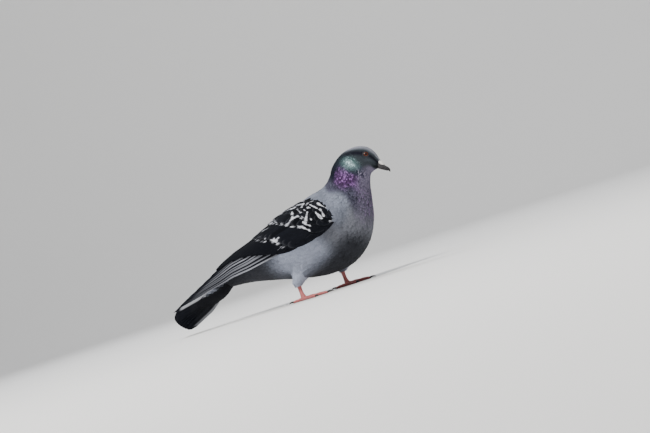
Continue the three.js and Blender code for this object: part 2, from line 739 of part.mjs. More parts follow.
const headWhole = solidOf(bodyLength(HEAD_STATION + STATION_GAP, LAST_STATION, 13));
const faceHalf = bodyPoint(LAST_STATION - 1, Math.PI / 2).y;
const gape = onBothSides((side) => sideSlot(GAPE, 1, 0, faceHalf, side));
const head = largestOf(
  joined([headWhole, lidRing(-1), lidRing(1)]).subtract(onBothSides(eyeSocket)).subtract(gape),
);

const headFace = bodyRing(LAST_STATION, GAP).map((point) => point.addScaledVector(billOnward, GAP));
const headStations = shares(9).map((share) => lerp(HEAD_STATION, LAST_STATION, share));
const headRoom = solidOf(loft([...headStations.map((station) => bodyRing(station, GAP)), headFace]));
const nostrils = onBothSides((side) => sideSlot(NOSTRIL, NOSTRIL.along, NOSTRIL.above, 2.6, side));
const upperBill = largestOf(billHalf(UPPER_BILL_ROWS, 1).subtract(headRoom).subtract(nostrils));
const faceRoom = headRoom.add(billHalf(UPPER_BILL_ROWS, 1, GAP));
const lowerBill = largestOf(billHalf(LOWER_BILL_ROWS, -1).subtract(faceRoom));
const cere = largestOf(onBothSides(cereLobe).subtract(faceRoom));

// ---------------------------------------------------------------- trunk and neck, cut clear

const torso = largestOf(
  solidOf(bodyLength(0, NECK_STATION, 17)).subtract(
    wasm.Manifold.union([wingRoom, mirrored(wingRoom), bootRoom, mirrored(bootRoom, STRIDE)]),
  ),
);
const neck = solidOf(bodyLength(NECK_STATION + STATION_GAP, HEAD_STATION, 8));

// ---------------------------------------------------------------- the bird

const bird = new THREE.Group();
bird.position.x = -BOX_MIDDLE_X;

const matt = (color, roughness) => new THREE.MeshStandardMaterial({ color, roughness, metalness: 0 });
const bodyFeathers = matt(0x6c7078, 0.8);
const wingFeathers = matt(0x24262b, 0.6);
const thighFeathers = matt(0x9a9ca2, 0.85);
const neckFeathers = matt(0x5a4a66, 0.5);
const headFeathers = matt(0x3c4248, 0.7);
const footSkin = matt(0xc0545a, 0.5);
const horn = matt(0x1e1d20, 0.35);
const cereSkin = matt(0xe4e2de, 0.7);
const eyeGloss = matt(0x8a2a12, 0.08);

function addPart(name, geometry, material) {
  const mesh = new THREE.Mesh(geometry, material);
  mesh.name = name;
  bird.add(mesh);
  return mesh;
}

addPart("torso", geometryOf(torso), bodyFeathers);
addPart("neck", geometryOf(neck), neckFeathers);
addPart("head", geometryOf(head), headFeathers);
addPart("tail", geometryOf(tail), wingFeathers);
addPart("bill_upper", geometryOf(upperBill), horn);
addPart("bill_lower", geometryOf(lowerBill), horn);
addPart("cere", geometryOf(cere), cereSkin);

for (const [name, side, forward] of [
  ["right", -1, 0],
  ["left", 1, STRIDE],
]) {
  const sided = (solid, stride) => geometryOf(side < 0 ? solid : mirrored(solid, stride));
  addPart(`wing_${name}`, sided(wing, 0), wingFeathers);
  addPart(`thigh_${name}`, sided(bootRight, forward), thighFeathers);
  addPart(`foot_${name}`, sided(footRight, forward), footSkin);
  for (const row of TOES) addPart(`claw_${row.name}_${name}`, sided(claw(row), forward), horn);
  const eye = addPart(`eye_${name}`, new THREE.SphereGeometry(EYE_RADIUS, ...EYE_STEPS), eyeGloss);
  eye.position.set(eyeCentre.x, side * eyeCentre.y, eyeCentre.z);
}

export default bird;
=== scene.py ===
# The looks of a standing feral pigeon: one skin, the feathers on it, eyes, lids, bill and feet.
# Sizes are millimetres in the frame of the CAD part, and become metres where a mesh is made.

import math

import bpy
import numpy as np
from mathutils import Matrix, Vector, kdtree


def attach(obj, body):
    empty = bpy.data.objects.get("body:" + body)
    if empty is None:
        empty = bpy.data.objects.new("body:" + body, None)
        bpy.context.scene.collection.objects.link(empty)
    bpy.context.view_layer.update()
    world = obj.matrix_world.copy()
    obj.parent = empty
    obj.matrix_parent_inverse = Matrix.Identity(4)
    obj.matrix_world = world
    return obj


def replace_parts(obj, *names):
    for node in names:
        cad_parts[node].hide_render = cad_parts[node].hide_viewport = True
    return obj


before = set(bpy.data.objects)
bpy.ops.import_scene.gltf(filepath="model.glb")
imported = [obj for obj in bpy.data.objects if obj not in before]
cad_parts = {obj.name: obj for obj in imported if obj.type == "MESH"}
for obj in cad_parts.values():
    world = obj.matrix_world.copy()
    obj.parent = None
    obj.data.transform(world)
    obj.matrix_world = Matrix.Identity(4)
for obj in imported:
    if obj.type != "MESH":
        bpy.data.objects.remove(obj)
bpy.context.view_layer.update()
rng = np.random.default_rng(7)

SHIFT = np.array([4.03, 0.0, 0.0])  # from the frame of the sections to the frame of the part
TURN = 2 * math.pi
UP = np.array([0, 0, 1.0])
SIDES = {-1: "right", 1: "left"}  # a side is the sign of its y

# ---------------------------------------------------------------- sections, as in the part

# back x, z, belly x, z and half width of each cross-section of trunk, neck and head
BODY = np.array([
    [-80, 51, -76, 38, 11],
    [-58, 65, -52, 36, 21],
    [-30, 80, -22, 30, 31],
    [0, 91.5, 12, 22, 39],
    [27, 100.5, 42, 18, 43],
    [46, 106.5, 70, 22, 42],
    [59, 109, 92, 37, 37.5],
    [68, 112.5, 105, 58, 31],
    [75.5, 119.5, 111, 80, 24.5],
    [81, 128, 114.5, 96, 19.5],
    [90, 135.5, 118.5, 106.5, 16.5],
    [100.5, 140, 123, 109.5, 15],
    [113, 140.8, 127, 110.5, 14],
    [123.5, 137.2, 129.4, 110.8, 11.5],
    [130, 129.8, 130.6, 111.2, 8.5],
    [132.8, 122.6, 131, 112.8, 5],
])
LAST = len(BODY) - 1
WIDEST_RISE = 0.12  # how far above its middle a section is widest, as a share of its half height

# upper edge, lower edge and bulge of the folded right wing
WING = np.array([
    [87, -32, 86, 87, -33.5, 81, 0.5],
    [77, -28, 94.5, 79, -41, 72, 4],
    [60, -21, 101.5, 62, -46.5, 62.5, 7],
    [40, -15, 102.5, 40, -48.5, 58, 9.5],
    [14, -13, 97, 14, -47, 54.5, 10],
    [-10, -12, 89.5, -12, -42, 51.5, 9],
    [-36, -11, 80, -38, -34.5, 49, 6.5],
    [-60, -10, 72.5, -60, -28.5, 47, 4],
    [-84, -10, 63, -84, -24, 41, 2],
    [-113, -12, 50.5, -113, -21, 36, 1],
    [-150, -16, 32, -150, -17.5, 29, 0.2],
])
WING_INNER = 30.0  # how far its inner points lie towards the middle

TAIL_HUB = np.array([-66, 0, 46.5])
TAIL_END = np.array([-147, -20, 19.5])
TAIL_TWIST = 26  # degrees
# reach from the hub, half width, half thickness and twist of the coverts' sections
TAIL_COVERTS = [(27, 14.5, 6, 14), (42, 15.5, 4, 22), (53, 12.5, 2.6, 26), (59, 6, 1.4, 26)]

STRIDE = 36  # how far the left foot is ahead
LEG_Y = -23.5  # middle of a shank
BOOT_Y = -25.0  # middle of a feathered thigh
# centre x, z, half length and half width of the feathered thigh
BOOT = np.array([
    [33, 53, 12, 9],
    [30, 45, 14, 12],
    [24.5, 35.5, 11.5, 11.5],
    [18, 28, 9.6, 9.6],
    [12.5, 21.6, 8, 7.6],
    [10.4, 17.6, 5, 4.8],
])


def unit(v):
    return v / np.maximum(np.linalg.norm(v, axis=-1, keepdims=True), 1e-9)


def stack(*values):
    return np.stack(np.broadcast_arrays(*values), -1)


def grid(u, v):
    return np.meshgrid(u, v, indexing="ij")


def turns(count):
    """Angles at equal steps once round."""
    return np.linspace(0, TURN, count, endpoint=False)


def smooth(start, end, x):
    """0 before start and 1 past end, or the other way round where start is the larger."""
    t = np.clip((x - start) / (end - start), 0, 1)
    return t * t * (3 - 2 * t)


def hump(x, start, full, fall, end):
    """1 from full to fall, 0 before start and past end."""
    return smooth(start, full, x) * smooth(end, fall, x)


def bell(x, middle, width):
    return np.exp(-(((x - middle) / width) ** 2))


def mix(a, b, t):
    """a where t is 0, b where it is 1, for colours as last axes."""
    t = np.asarray(t)[..., None]
    return np.asarray(a) * (1 - t) + np.asarray(b) * t


def layers(tone, *above):
    """A tone with others laid over it in turn, each by its share."""
    for colour, share in above:
        tone = mix(tone, colour, share)
    return tone


def spline(rows, x):
    """Catmull-Rom through rows at 0, 1, 2 and so on, straight on past both ends."""
    x = np.asarray(x, float)
    last = len(rows) - 1
    inside = np.clip(x, 0, last)
    i = np.minimum(inside.astype(int), last - 1)
    w = (inside - i)[..., None]
    padded = np.vstack([2 * rows[0] - rows[1], rows, 2 * rows[-1] - rows[-2]])
    p0, p1, p2, p3 = (padded[i + k] for k in range(4))
    m1, m2 = (p2 - p0) / 2, (p3 - p1) / 2
    curve = (3 * (p2 - p1) - 2 * m1 - m2) + w * (2 * (p1 - p2) + m1 + m2)
    past = (x - inside)[..., None]
    onward = np.where(past < 0, rows[1] - rows[0], rows[-1] - rows[-2])
    return p1 + w * (m1 + w * curve) + past * onward


# Each surface takes two places on it and comes with an inner one, which gives points inside it.

def body(s, a, grow=0.0):
    """Trunk, neck and head, by station and angle from the back line."""
    row = spline(BODY, s)
    back, belly, half = row[..., 0:2], row[..., 2:4], row[..., 4] + grow
    middle, up = (back + belly) / 2, (back - belly) / 2
    up = up * (1 + np.asarray(grow)[..., None] / np.linalg.norm(up, axis=-1, keepdims=True))
    rise = np.cos(a) + WIDEST_RISE * np.sin(a) ** 2
    x, z = middle[..., 0] + up[..., 0] * rise, middle[..., 1] + up[..., 1] * rise
    return stack(x, half * np.sin(a), z) + SHIFT


def body_axis(s, a):
    row = spline(BODY, s)
    middle = (row[..., 0:2] + row[..., 2:4]) / 2
    return stack(middle[..., 0], 0 * a, middle[..., 1]) + SHIFT


def wing_at(side):
    """A wing and its inside, by 0 to 1 from wrist to tip and from upper to lower edge."""

    def wing(along, down):
        along, down = np.broadcast_arrays(np.asarray(along, float), np.asarray(down, float))
        row = spline(WING, along * 10)
        ahead = spline(WING[:, 0:3], along * 10 + 0.02) - spline(WING[:, 0:3], along * 10 - 0.02)
        upper, chord = row[..., 0:3], row[..., 3:6] - row[..., 0:3]
        out = unit(np.cross(chord, ahead))
        out = out * -np.sign(out[..., 1:2])
        bulge = row[..., 6] * 4 * down * (1 - down)
        return (upper + chord * down[..., None] + out * bulge[..., None] + SHIFT) * [1, -side, 1]

    return wing, lambda along, down: wing(along, down) - [0, side * WING_INNER, 0]


def boot_at(side):
    """A feathered thigh and its axis, by level from the top and angle from the front."""
    forward, middle = STRIDE if side > 0 else 0, -side * BOOT_Y

    def boot(k, a, grow=0.0):
        row = spline(BOOT, k)
        x = row[..., 0] + (row[..., 2] + grow) * np.cos(a) + forward
        return stack(x, middle + (row[..., 3] + grow) * np.sin(a), row[..., 1]) + SHIFT

    def axis(k, a):
        row = spline(BOOT, k)
        return stack(row[..., 0] + forward, middle + 0 * a, row[..., 1] + 2) + SHIFT

    return boot, axis


TAIL_ONWARD = unit(TAIL_END - TAIL_HUB)
TAIL_LENGTH = np.linalg.norm(TAIL_END - TAIL_HUB)


def tail_axes(twist):
    """The tail's left and up directions where it is twisted by some degrees."""
    left = Matrix.Rotation(math.radians(twist), 3, Vector(TAIL_ONWARD)) @ Vector((0, 1, 0))
    return np.array(left), np.cross(left, TAIL_ONWARD)


def tail_rows():
    rows = [[*((BODY[0, [0, 4, 1]] + BODY[0, [2, 4, 3]]) / 2 * [1, 0, 1]), 0, 11, 0, -2, 0, 6.5]]
    for reach, half, thick, twist in TAIL_COVERTS:
        left, up = tail_axes(twist)
        rows.append([*(TAIL_HUB + TAIL_ONWARD * reach - 2 * up), *(left * half), *(up * thick)])
    return np.array(rows)


TAIL_ROWS = tail_rows()


def tail_root(q, a):
    row = spline(TAIL_ROWS, q)
    c, n = np.cos(a)[..., None], np.sin(a)[..., None]
    return row[..., 0:3] + row[..., 3:6] * n + row[..., 6:9] * c + SHIFT


def tail_axis(q, a):
    return spline(TAIL_ROWS, q)[..., 0:3] + SHIFT


def face_normal(surface, inner, u, v, step):
    """Point, slopes and outward normal of a surface."""
    p, (du, dv) = surface(u, v), step
    pu = (surface(u + du, v) - surface(u - du, v)) / (2 * du)
    pv = (surface(u, v + dv) - surface(u, v - dv)) / (2 * dv)
    n = unit(np.cross(pu, pv))
    flip = np.sign(np.sum(n * (p - inner(u, v)), -1, keepdims=True))
    return p, pu, pv, n * np.where(flip == 0, 1, flip)


def slid(pu, pv, reach):
    """How far u and v go for a move over a surface with the slopes pu and pv."""
    e, f, g = (np.sum(x * y, -1) for x, y in ((pu, pu), (pu, pv), (pv, pv)))
    a, b = np.sum(reach * pu, -1), np.sum(reach * pv, -1)
    area = np.maximum(e * g - f * f, 1e-6)
    return (a * g - b * f) / area, (b * e - a * f) / area


def pace(surface, u, v, du=0.05, dv=0.0):
    """Millimetres on a surface for each unit of u, or of v where only dv is given."""
    run = surface(u + du, v + dv) - surface(u - du, v - dv)
    return np.linalg.norm(run, axis=-1) / (2 * (du + dv))


def staggered(surface, rows, gaps, shifts=0.0):
    """Places at equal distances in rings of a surface, every other ring moved by half a gap."""
    a, places = np.linspace(-math.pi, math.pi, 361), []
    gaps, shifts = (np.broadcast_to(x, len(rows)) for x in (gaps, shifts))
    for i, (u, gap, shift) in enumerate(zip(rows, gaps, shifts)):
        steps = np.linalg.norm(np.diff(surface(np.full_like(a, u), a), axis=0), axis=1)
        run = np.concatenate([[0], np.cumsum(steps)])
        count = max(int(run[-1] / gap), 3)
        spots = (np.arange(count) + 0.5 * (i % 2) + shift) / count * run[-1]
        places.append(stack(u, np.interp(spots, run, a)))
    return np.concatenate(places).T


def between(values, length, u, a):
    """Where u runs from 0 to length and a all round, what lies between the values of a grid."""
    rows, columns = values.shape
    x = np.clip(u / length, 0, 1) * (rows - 1)
    y = ((a + math.pi) / TURN % 1) * (columns - 1)
    i, j = np.minimum(x.astype(int), rows - 2), np.minimum(y.astype(int), columns - 2)
    fx, fy = x - i, y - j
    top = values[i, j] * (1 - fy) + values[i, j + 1] * fy
    low = values[i + 1, j] * (1 - fy) + values[i + 1, j + 1] * fy
    return top * (1 - fx) + low * fx


# ---------------------------------------------------------------- meshes

def set_colours(mesh, colours):
    layer = mesh.color_attributes.new("Col", "FLOAT_COLOR", "POINT")
    rgb = np.asarray(colours, np.float32).reshape(-1, 3)
    layer.data.foreach_set("color", np.pad(rgb, ((0, 0), (0, 1)), constant_values=1).ravel())


def make_object(name, points, faces, material, slot, colours=None, maps=()):
    """A mesh object in metres that rides on the bird, with colours and named UV maps."""
    mesh = bpy.data.meshes.new(name)
    flat = np.asarray(points, np.float32).reshape(-1, 3) * 0.001
    faces = np.asarray(faces, np.int32)
    (count, sides), corners = faces.shape, faces.ravel()
    mesh.vertices.add(len(flat))
    mesh.vertices.foreach_set("co", flat.ravel())
    mesh.loops.add(len(corners))
    mesh.loops.foreach_set("vertex_index", corners)
    mesh.polygons.add(count)
    mesh.polygons.foreach_set("loop_start", np.arange(0, len(corners), sides, dtype=np.int32))
    mesh.polygons.foreach_set("loop_total", np.full(count, sides, np.int32))
    mesh.polygons.foreach_set("use_smooth", np.ones(count, bool))
    mesh.update(calc_edges=True)
    if colours is not None:
        set_colours(mesh, colours)
    for title, uv in maps:
        layer = mesh.uv_layers.new(name=title)
        layer.data.foreach_set("uv", np.asarray(uv, np.float32)[corners].ravel())
    mesh.materials.append(material)
    piece = bpy.data.objects.new(name, mesh)
    bpy.context.scene.collection.objects.link(piece)
    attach(piece, "root")
    return piece


def grid_faces(rows, columns, closed=False):
    """Quads of a grid of rows by columns points, closed round its columns or not."""
    r, c = grid(np.arange(rows - 1), np.arange(columns if closed else columns - 1))
    n, r = (c + 1) % columns, r * columns
    return stack(r + c, r + n, r + columns + n, r + columns + c).reshape(-1, 4)


def joined(parts):
    """Points and faces of several meshes as one."""
    points, faces, base = [], [], 0
    for p, f in parts:
        points.append(p)
        faces.append(f + base)
        base += len(p)
    return np.concatenate(points), np.concatenate(faces)


def tube(rings):
    """Points and quads of a closed tube over rings (n, m, 3), its ends closed to a point."""
    first, last = (np.broadcast_to(ring.mean(0), (1, *ring.shape)) for ring in rings[[0, -1]])
    rings = np.concatenate([first, rings, last])
    return rings.reshape(-1, 3), grid_faces(*rings.shape[:2], closed=True)


# ---------------------------------------------------------------- feathers

PATCH = 0.003  # size of each feather's place in the map OFBake
SOFT_COLUMNS = 7


def closed_vane(points, thickness, hint):
    """Upper and under side of vanes as one folded grid (n, R, 2C, 3) that closes on itself."""
    normal = unit(np.cross(np.gradient(points, axis=1), np.gradient(points, axis=2)))
    sign = np.sign(np.sum(normal * hint[:, None, None], -1, keepdims=True))
    under = points - normal * np.where(sign == 0, 1, sign) * thickness
    return np.concatenate([points, under[:, :, ::-1]], 2)


def closed_faces(rows, columns):
    """Quads of a folded grid that closes round its columns, with both ends closed."""
    double, last = 2 * columns, (rows - 1) * 2 * columns
    ends = []
    for c in range(columns - 1):
        across = double - 1 - c
        ends.append([c, across, across - 1, c + 1])
        ends.append([last + c, last + c + 1, last + across - 1, last + across])
    return np.concatenate([grid_faces(rows, double, closed=True), np.array(ends)])


def vane_map(path, width, columns):
    """UV in centimetres across and along each vane, from its middle line and widths (n, R)."""
    steps = np.linalg.norm(np.diff(path, axis=1), axis=-1)
    lengths = np.concatenate([np.zeros((len(path), 1)), np.cumsum(steps, 1)], 1)
    return stack(width[:, :, None] * np.linspace(-1, 1, columns) / 20, lengths[:, :, None] / 10)


class Coat:
    """Feathers that lie on a surface, gathered to be made as one piece."""

    def __init__(self):
        self.parts, self.colours, self.patch, self.vane = [], [], [], []
        self.middles, self.tones = [], []

    def add(self, points, width, colours, place, under=None, thick=0.0, hint=None, mirror=False):
        """Feathers of points and colours (n, R, C, 3) and widths (n, R) with roots at map places.

        With colours for the underside they are solid, of a thickness away from the hint.
        """
        n, rows, columns, _ = points.shape
        vane = vane_map(points[:, :, columns // 2], width, columns)
        faces = grid_faces(rows, columns)
        if under is not None:
            points, faces = closed_vane(points, thick, hint), closed_faces(rows, columns)
            colours = np.concatenate([colours, under[:, :, ::-1]], 2)
            vane = np.concatenate([vane, vane[:, :, ::-1]], 2)
            columns *= 2
        if mirror:
            points = points * [1, -1, 1]
        else:
            faces = faces[:, ::-1]
        copies = faces + (np.arange(n) * rows * columns)[:, None, None]
        self.parts.append((points.reshape(-1, 3), copies.reshape(-1, 4)))
        self.colours.append(colours.reshape(-1, 3))
        spot = stack(np.linspace(-0.5, 0.5, columns), np.linspace(-0.5, 0.5, rows)[:, None])
        self.patch.append((spot * PATCH + place[:, None, None]).reshape(-1, 2))
        self.vane.append(vane.reshape(-1, 2))
        self.middles.append(points[:, rows // 2, columns // 2])
        self.tones.append(colours[:, rows // 2, columns // 2])

    def make(self, name, material, slot):
        maps = [("OFBake", np.concatenate(self.patch)), ("Vane", np.concatenate(self.vane))]
        make_object(name, *joined(self.parts), material, slot, np.concatenate(self.colours), maps)


def soft_coat(name, material, slot, points, width, colours, place):
    """Soft feathers as a piece of their own."""
    coat = Coat()
    coat.add(points, width, colours, place)
    coat.make(name, material, slot)
    return coat


def outline(t, root, full, tip):
    """Width of a feather along its length, as a share of its full width; lay rounds its end."""
    fall = 1 - (1 - tip) * np.clip((t - full) / (1 - full), 0, 1) ** 2
    return (root + (1 - root) * smooth(0, full, t)) * fall


def lay(surface, inner, path_u, path_v, width, height, step, fray, round_end, bounds=None):
    """Points (n, R, C, 3) of vanes whose middles follow paths (n, R) over a surface, and places.

    width (n, R) is the full width, height (n, R, C) the distance off the surface, fray how far
    the barbs at the end stand out of line, round_end how far the corners of the end lie back.
    """
    p, pu, pv, normal = face_normal(surface, inner, path_u, path_v, step)
    heading = np.gradient(p, axis=1)
    across = unit(np.cross(normal, heading))
    _, rows, columns = height.shape
    t, w = np.linspace(0, 1, rows)[:, None], np.linspace(-1, 1, columns)
    ends = -round_end * width.max(1)[:, None, None] * w**2 * t**2
    ends = ends + rng.normal(0, 1, height.shape) * fray * t**4
    reach = across[:, :, None] * (width[:, :, None] * w / 2)[..., None]
    reach = reach + unit(heading)[:, :, None] * ends[..., None]
    du, dv = slid(pu[:, :, None], pv[:, :, None], reach)
    u, v = path_u[:, :, None] + du, path_v[:, :, None] + dv
    if bounds:
        u, v = np.clip(u, *bounds[0]), np.clip(v, *bounds[1])
    q, _, _, n = face_normal(surface, inner, u, v, step)
    return q + n * height[..., None], u, v


def soft_vanes(surface, inner, path_u, path_v, full, rise, step, fray=0.03):
    """Points of short soft feathers: rise (n, R) is the height of their middles."""
    t, w = np.linspace(0, 1, full.shape[1])[:, None], np.linspace(-1, 1, SOFT_COLUMNS)
    width = full.max(1)[:, None, None]
    hollow = 0.03 * width * w**2 * (0.4 + 0.6 * t)
    frayed = rng.normal(0, 0.008, (*full.shape, SOFT_COLUMNS)) * width * t**3
    height = rise[:, :, None] - hollow + frayed
    return lay(surface, inner, path_u, path_v, full, height, step, fray * width, 0.26)[0]


def along_rows(tone, shade):
    """Colours (n, R, C, 3) of soft feathers with a tone each and a shade for each row."""
    return tone[:, None, None] * shade[:, None, None] * np.ones((SOFT_COLUMNS, 1))


# ---------------------------------------------------------------- materials

def new_material(name, roughness, specular, sheen=0.0, coat=0.0):
    material = bpy.data.materials.new(name)
    material.use_nodes = True
    shader = material.node_tree.nodes["Principled BSDF"]
    shader.inputs["Roughness"].default_value = roughness
    shader.inputs["Specular IOR Level"].default_value = specular
    shader.inputs["Sheen Weight"].default_value = sheen
    shader.inputs["Coat Weight"].default_value = coat
    return material, material.node_tree, shader


def give(tree, socket, value):
    """Sets a socket, or links it where the value is a socket itself."""
    if isinstance(value, bpy.types.NodeSocket):
        tree.links.new(value, socket)
    else:
        socket.default_value = value


def node(tree, kind, **values):
    made = tree.nodes.new("ShaderNode" + kind)
    for key, value in values.items():
        if key in made.inputs:
            give(tree, made.inputs[key], value)
        else:
            setattr(made, key, value)
    return made


def maths(tree, operation, *values):
    made = node(tree, "Math", operation=operation)
    for socket, value in zip(made.inputs, values):
        give(tree, socket, value)
    return made.outputs[0]


def dimmed(tree, colour, grey):
    """A colour times a grey value."""
    greys = node(tree, "CombineColor", Red=grey, Green=grey, Blue=grey)
    mixed = node(tree, "Mix", data_type="RGBA", blend_type="MULTIPLY", Factor=1.0)
    tree.links.new(colour, mixed.inputs[6])
    tree.links.new(greys.outputs[0], mixed.inputs[7])
    return mixed.outputs[2]


def painted(tree, amount, scale):
    """The mesh's own colours, made uneven by noise, and the place on the object."""
    place = node(tree, "TexCoord").outputs["Object"]
    colour = node(tree, "VertexColor", layer_name="Col").outputs["Color"]
    noise = node(tree, "TexNoise", Vector=place, Scale=scale, Detail=4.0).outputs["Fac"]
    return dimmed(tree, colour, maths(tree, "MULTIPLY_ADD", noise, amount, 1 - amount / 2)), place


def bumped(tree, shader, height, strength, depth):
    bump = node(tree, "Bump", Strength=strength, Distance=depth * 0.001, Height=height)
    tree.links.new(bump.outputs[0], shader.inputs["Normal"])


# distance between the barbs and half width of the shaft, in the centimetres of the vane's map,
# and how far the barbs run on towards the tip as they run out
BARB_GAP, SHAFT, BARB_SLANT = 0.034, 0.012, 0.9


def feather_material(name, roughness, specular, sheen, barbs, depth):
    """A vane: its own colours, fine barbs that run out from the shaft, and bump and painted shade
    from them.
    """
    material, tree, shader = new_material(name, roughness, specular, sheen)
    colour, place = painted(tree, 0.5, 900.0)
    uv = node(tree, "UVMap", uv_map="Vane").outputs["UV"]
    across, along, _ = node(tree, "SeparateXYZ", Vector=uv).outputs
    out = maths(tree, "ABSOLUTE", across)
    along = maths(tree, "SUBTRACT", along, maths(tree, "MULTIPLY", out, BARB_SLANT))
    wave = maths(tree, "SINE", maths(tree, "MULTIPLY", along, TURN / BARB_GAP))
    ridge = maths(tree, "MULTIPLY_ADD", wave, 0.5, 0.5)
    shaft = maths(tree, "LESS_THAN", out, SHAFT)
    grain = node(tree, "TexNoise", Vector=place, Scale=2600.0, Detail=2.0).outputs["Fac"]
    height = maths(tree, "ADD", maths(tree, "ADD", ridge, shaft), grain)
    bumped(tree, shader, height, barbs, depth)
    # painted shade: the colour is darker between the barbs
    shade = maths(tree, "MULTIPLY_ADD", ridge, 0.26, 0.87)
    tree.links.new(dimmed(tree, colour, shade), shader.inputs["Base Color"])
    return material


def skin_material(name, roughness, specular, amount, scale, fine, depth, scaly=False):
    """Skin or horn with its own colours, uneven by an amount, and a fine bump."""
    material, tree, shader = new_material(name, roughness, specular)
    colour, place = painted(tree, amount, scale)
    tree.links.new(colour, shader.inputs["Base Color"])
    if scaly:
        height = node(tree, "TexVoronoi", Vector=place, Scale=fine).outputs["Distance"]
    else:
        height = node(tree, "TexNoise", Vector=place, Scale=fine, Detail=4.0).outputs["Fac"]
    bumped(tree, shader, height, 0.6, depth)
    return material


# roughness, specular, sheen, strength and depth of the barbs' bump
BODY_VANE = feather_material("body_vane", 0.78, 0.08, 0.03, 0.5, 0.05)
NECK_VANE = feather_material("neck_vane", 0.6, 0.03, 0.0, 0.4, 0.04)
HEAD_VANE = feather_material("head_vane", 0.75, 0.03, 0.0, 0.4, 0.03)
WING_VANE = feather_material("wing_vane", 0.7, 0.02, 0.0, 0.5, 0.04)
TAIL_VANE = feather_material("tail_vane", 0.7, 0.02, 0.0, 0.5, 0.04)
THIGH_VANE = feather_material("thigh_vane", 0.8, 0.15, 0.08, 0.5, 0.05)
# roughness, specular, unevenness, its scale, the bump's scale and depth
SKIN = skin_material("under_feathers", 0.9, 0.1, 0.5, 500.0, 1800.0, 0.2)
FOOT_SKIN = skin_material("foot_skin", 0.48, 0.4, 0.35, 420.0, 900.0, 0.12, scaly=True)
CLAW_HORN = skin_material("claw_horn", 0.35, 0.45, 0.4, 500.0, 2500.0, 0.03)
BILL_HORN = skin_material("bill_horn", 0.38, 0.45, 0.4, 350.0, 1500.0, 0.04)
CERE_SKIN = skin_material("cere_skin", 0.75, 0.2, 0.25, 700.0, 1500.0, 0.3)
LID_SKIN = skin_material("lid_skin", 0.65, 0.15, 0.25, 700.0, 2600.0, 0.08)

# ---------------------------------------------------------------- where the limbs meet the trunk

WING_STEP, ROUND_STEP = (0.003, 0.01), (0.02, 0.02)  # steps in u and v that give a slope
# how near a limb the coat swells, how far at most, and the rounding where it does
SWELL_NEAR, SWELL_MOST, SWELL_ROUND = 12, 18, 8.0


def soft_min(a, b, size):
    """The smaller of two distances, rounded where they are within size of each other."""
    near = np.maximum(size - np.abs(a - b), 0) / size
    return np.minimum(a, b) - near * near * size / 4


def limb_spheres():
    """Spheres that fill the tops of the thighs and the wrists of the wings."""
    centres, radii = [], []
    for side in SIDES:
        forward = STRIDE if side > 0 else 0
        for x, z, long, wide in spline(BOOT, np.linspace(0, 2.4, 13)):
            for shift in (-1, 0, 1):
                spot = np.array([x + forward + shift * (long - wide), -side * BOOT_Y, z])
                centres.append(spot + SHIFT)
                radii.append(wide)
        u, v = grid(np.linspace(0, 0.1, 7), np.linspace(0.08, 0.92, 10))
        p, _, _, n = face_normal(*wing_at(side), u, v, WING_STEP)
        size = np.interp(u, [0, 0.03, 0.1], [1.5, 3.5, 7.0])
        centres.extend((p - n * (size - 1.6)[..., None]).reshape(-1, 3))
        radii.extend(size.ravel())
    return np.array(centres), np.array(radii)


def swell_grid():
    """How far the coat stands out over thighs and wrists, by station and angle."""
    s, a = grid(np.linspace(0, LAST, 151), np.linspace(-math.pi, math.pi, 145))
    centres, radii = limb_spheres()

    def clear(p):
        return np.min([np.linalg.norm(p - c, axis=-1) - r for c, r in zip(centres, radii)], 0)

    near = clear(body(s, a)) < SWELL_NEAR
    # each pass takes the outline nearer to the limbs, or to the trunk where they don't reach out
    out = np.full(near.sum(), 16.0)
    for _ in range(18):
        gap = soft_min(out, clear(body(s[near], a[near], out)), SWELL_ROUND)
        out = np.clip(out - gap, 0, SWELL_MOST)
    swell = np.zeros(s.shape)
    swell[near] = out
    for _ in range(3):
        swell[1:-1] = (swell[:-2] + 2 * swell[1:-1] + swell[2:]) / 4
        swell = (np.roll(swell, 1, 1) + 2 * swell + np.roll(swell, -1, 1)) / 4
    return swell


SWELL = swell_grid()


def coat_body(s, a, grow=0.0):
    """The outline of the coat on trunk, neck and head, with the limbs' roots under it."""
    return body(s, a, between(SWELL, LAST, s, a) + grow)


def trunk_gap(p):
    """About how far points lie outside the trunk."""
    x, y, z = np.moveaxis(p - SHIFT, -1, 0)
    row = spline(BODY, np.interp(x, (BODY[:, 0] + BODY[:, 2]) / 2, np.arange(LAST + 1)))
    high, middle = (row[..., 1] - row[..., 3]) / 2, (row[..., 1] + row[..., 3]) / 2
    ring = np.hypot(y / row[..., 4], (z - middle) / high)
    return (ring - 1) * np.minimum(high, row[..., 4])


# ---------------------------------------------------------------- markings

SLATE = np.array([0.155, 0.168, 0.205])
PALE_SLATE = np.array([0.33, 0.36, 0.45])
MANTLE = np.array([0.190, 0.209, 0.262])
BREAST = np.array([0.125, 0.130, 0.152])
DARK_SLATE = np.array([0.032, 0.034, 0.042])
WING_BLACK = np.array([0.0045, 0.005, 0.007])
CHEQUER_WHITE = np.array([0.60, 0.61, 0.66])
SILVER = np.array([0.30, 0.308, 0.345])
VIOLET = np.array([0.165, 0.080, 0.225])
LAVENDER = np.array([0.15, 0.135, 0.19])
# a pale green that stands for a painted highlight on the neck's gloss
TEAL_HIGHLIGHT = np.array([0.41, 0.575, 0.61])
TEAL_DARK = np.array([0.055, 0.105, 0.100])
NECK_DARK = np.array([0.012, 0.012, 0.026])
# painted shade: the back of the neck is darker than its sides
NAPE_SHADE = np.array([0.006, 0.008, 0.014])
BAND = np.array([0.008, 0.008, 0.014])
CROWN = np.array([0.25, 0.26, 0.30])
CHEEK = np.array([0.030, 0.036, 0.042])

WAVES = rng.normal(size=(9, 3))
WAVE_STARTS = rng.uniform(0, TURN, 9)


def mottle(p, size):
    """Soft uneven patches from about -1 to 1, size millimetres across."""
    return np.sin(p @ WAVES.T * (2 / size) + WAVE_STARTS).mean(-1) * 2.2


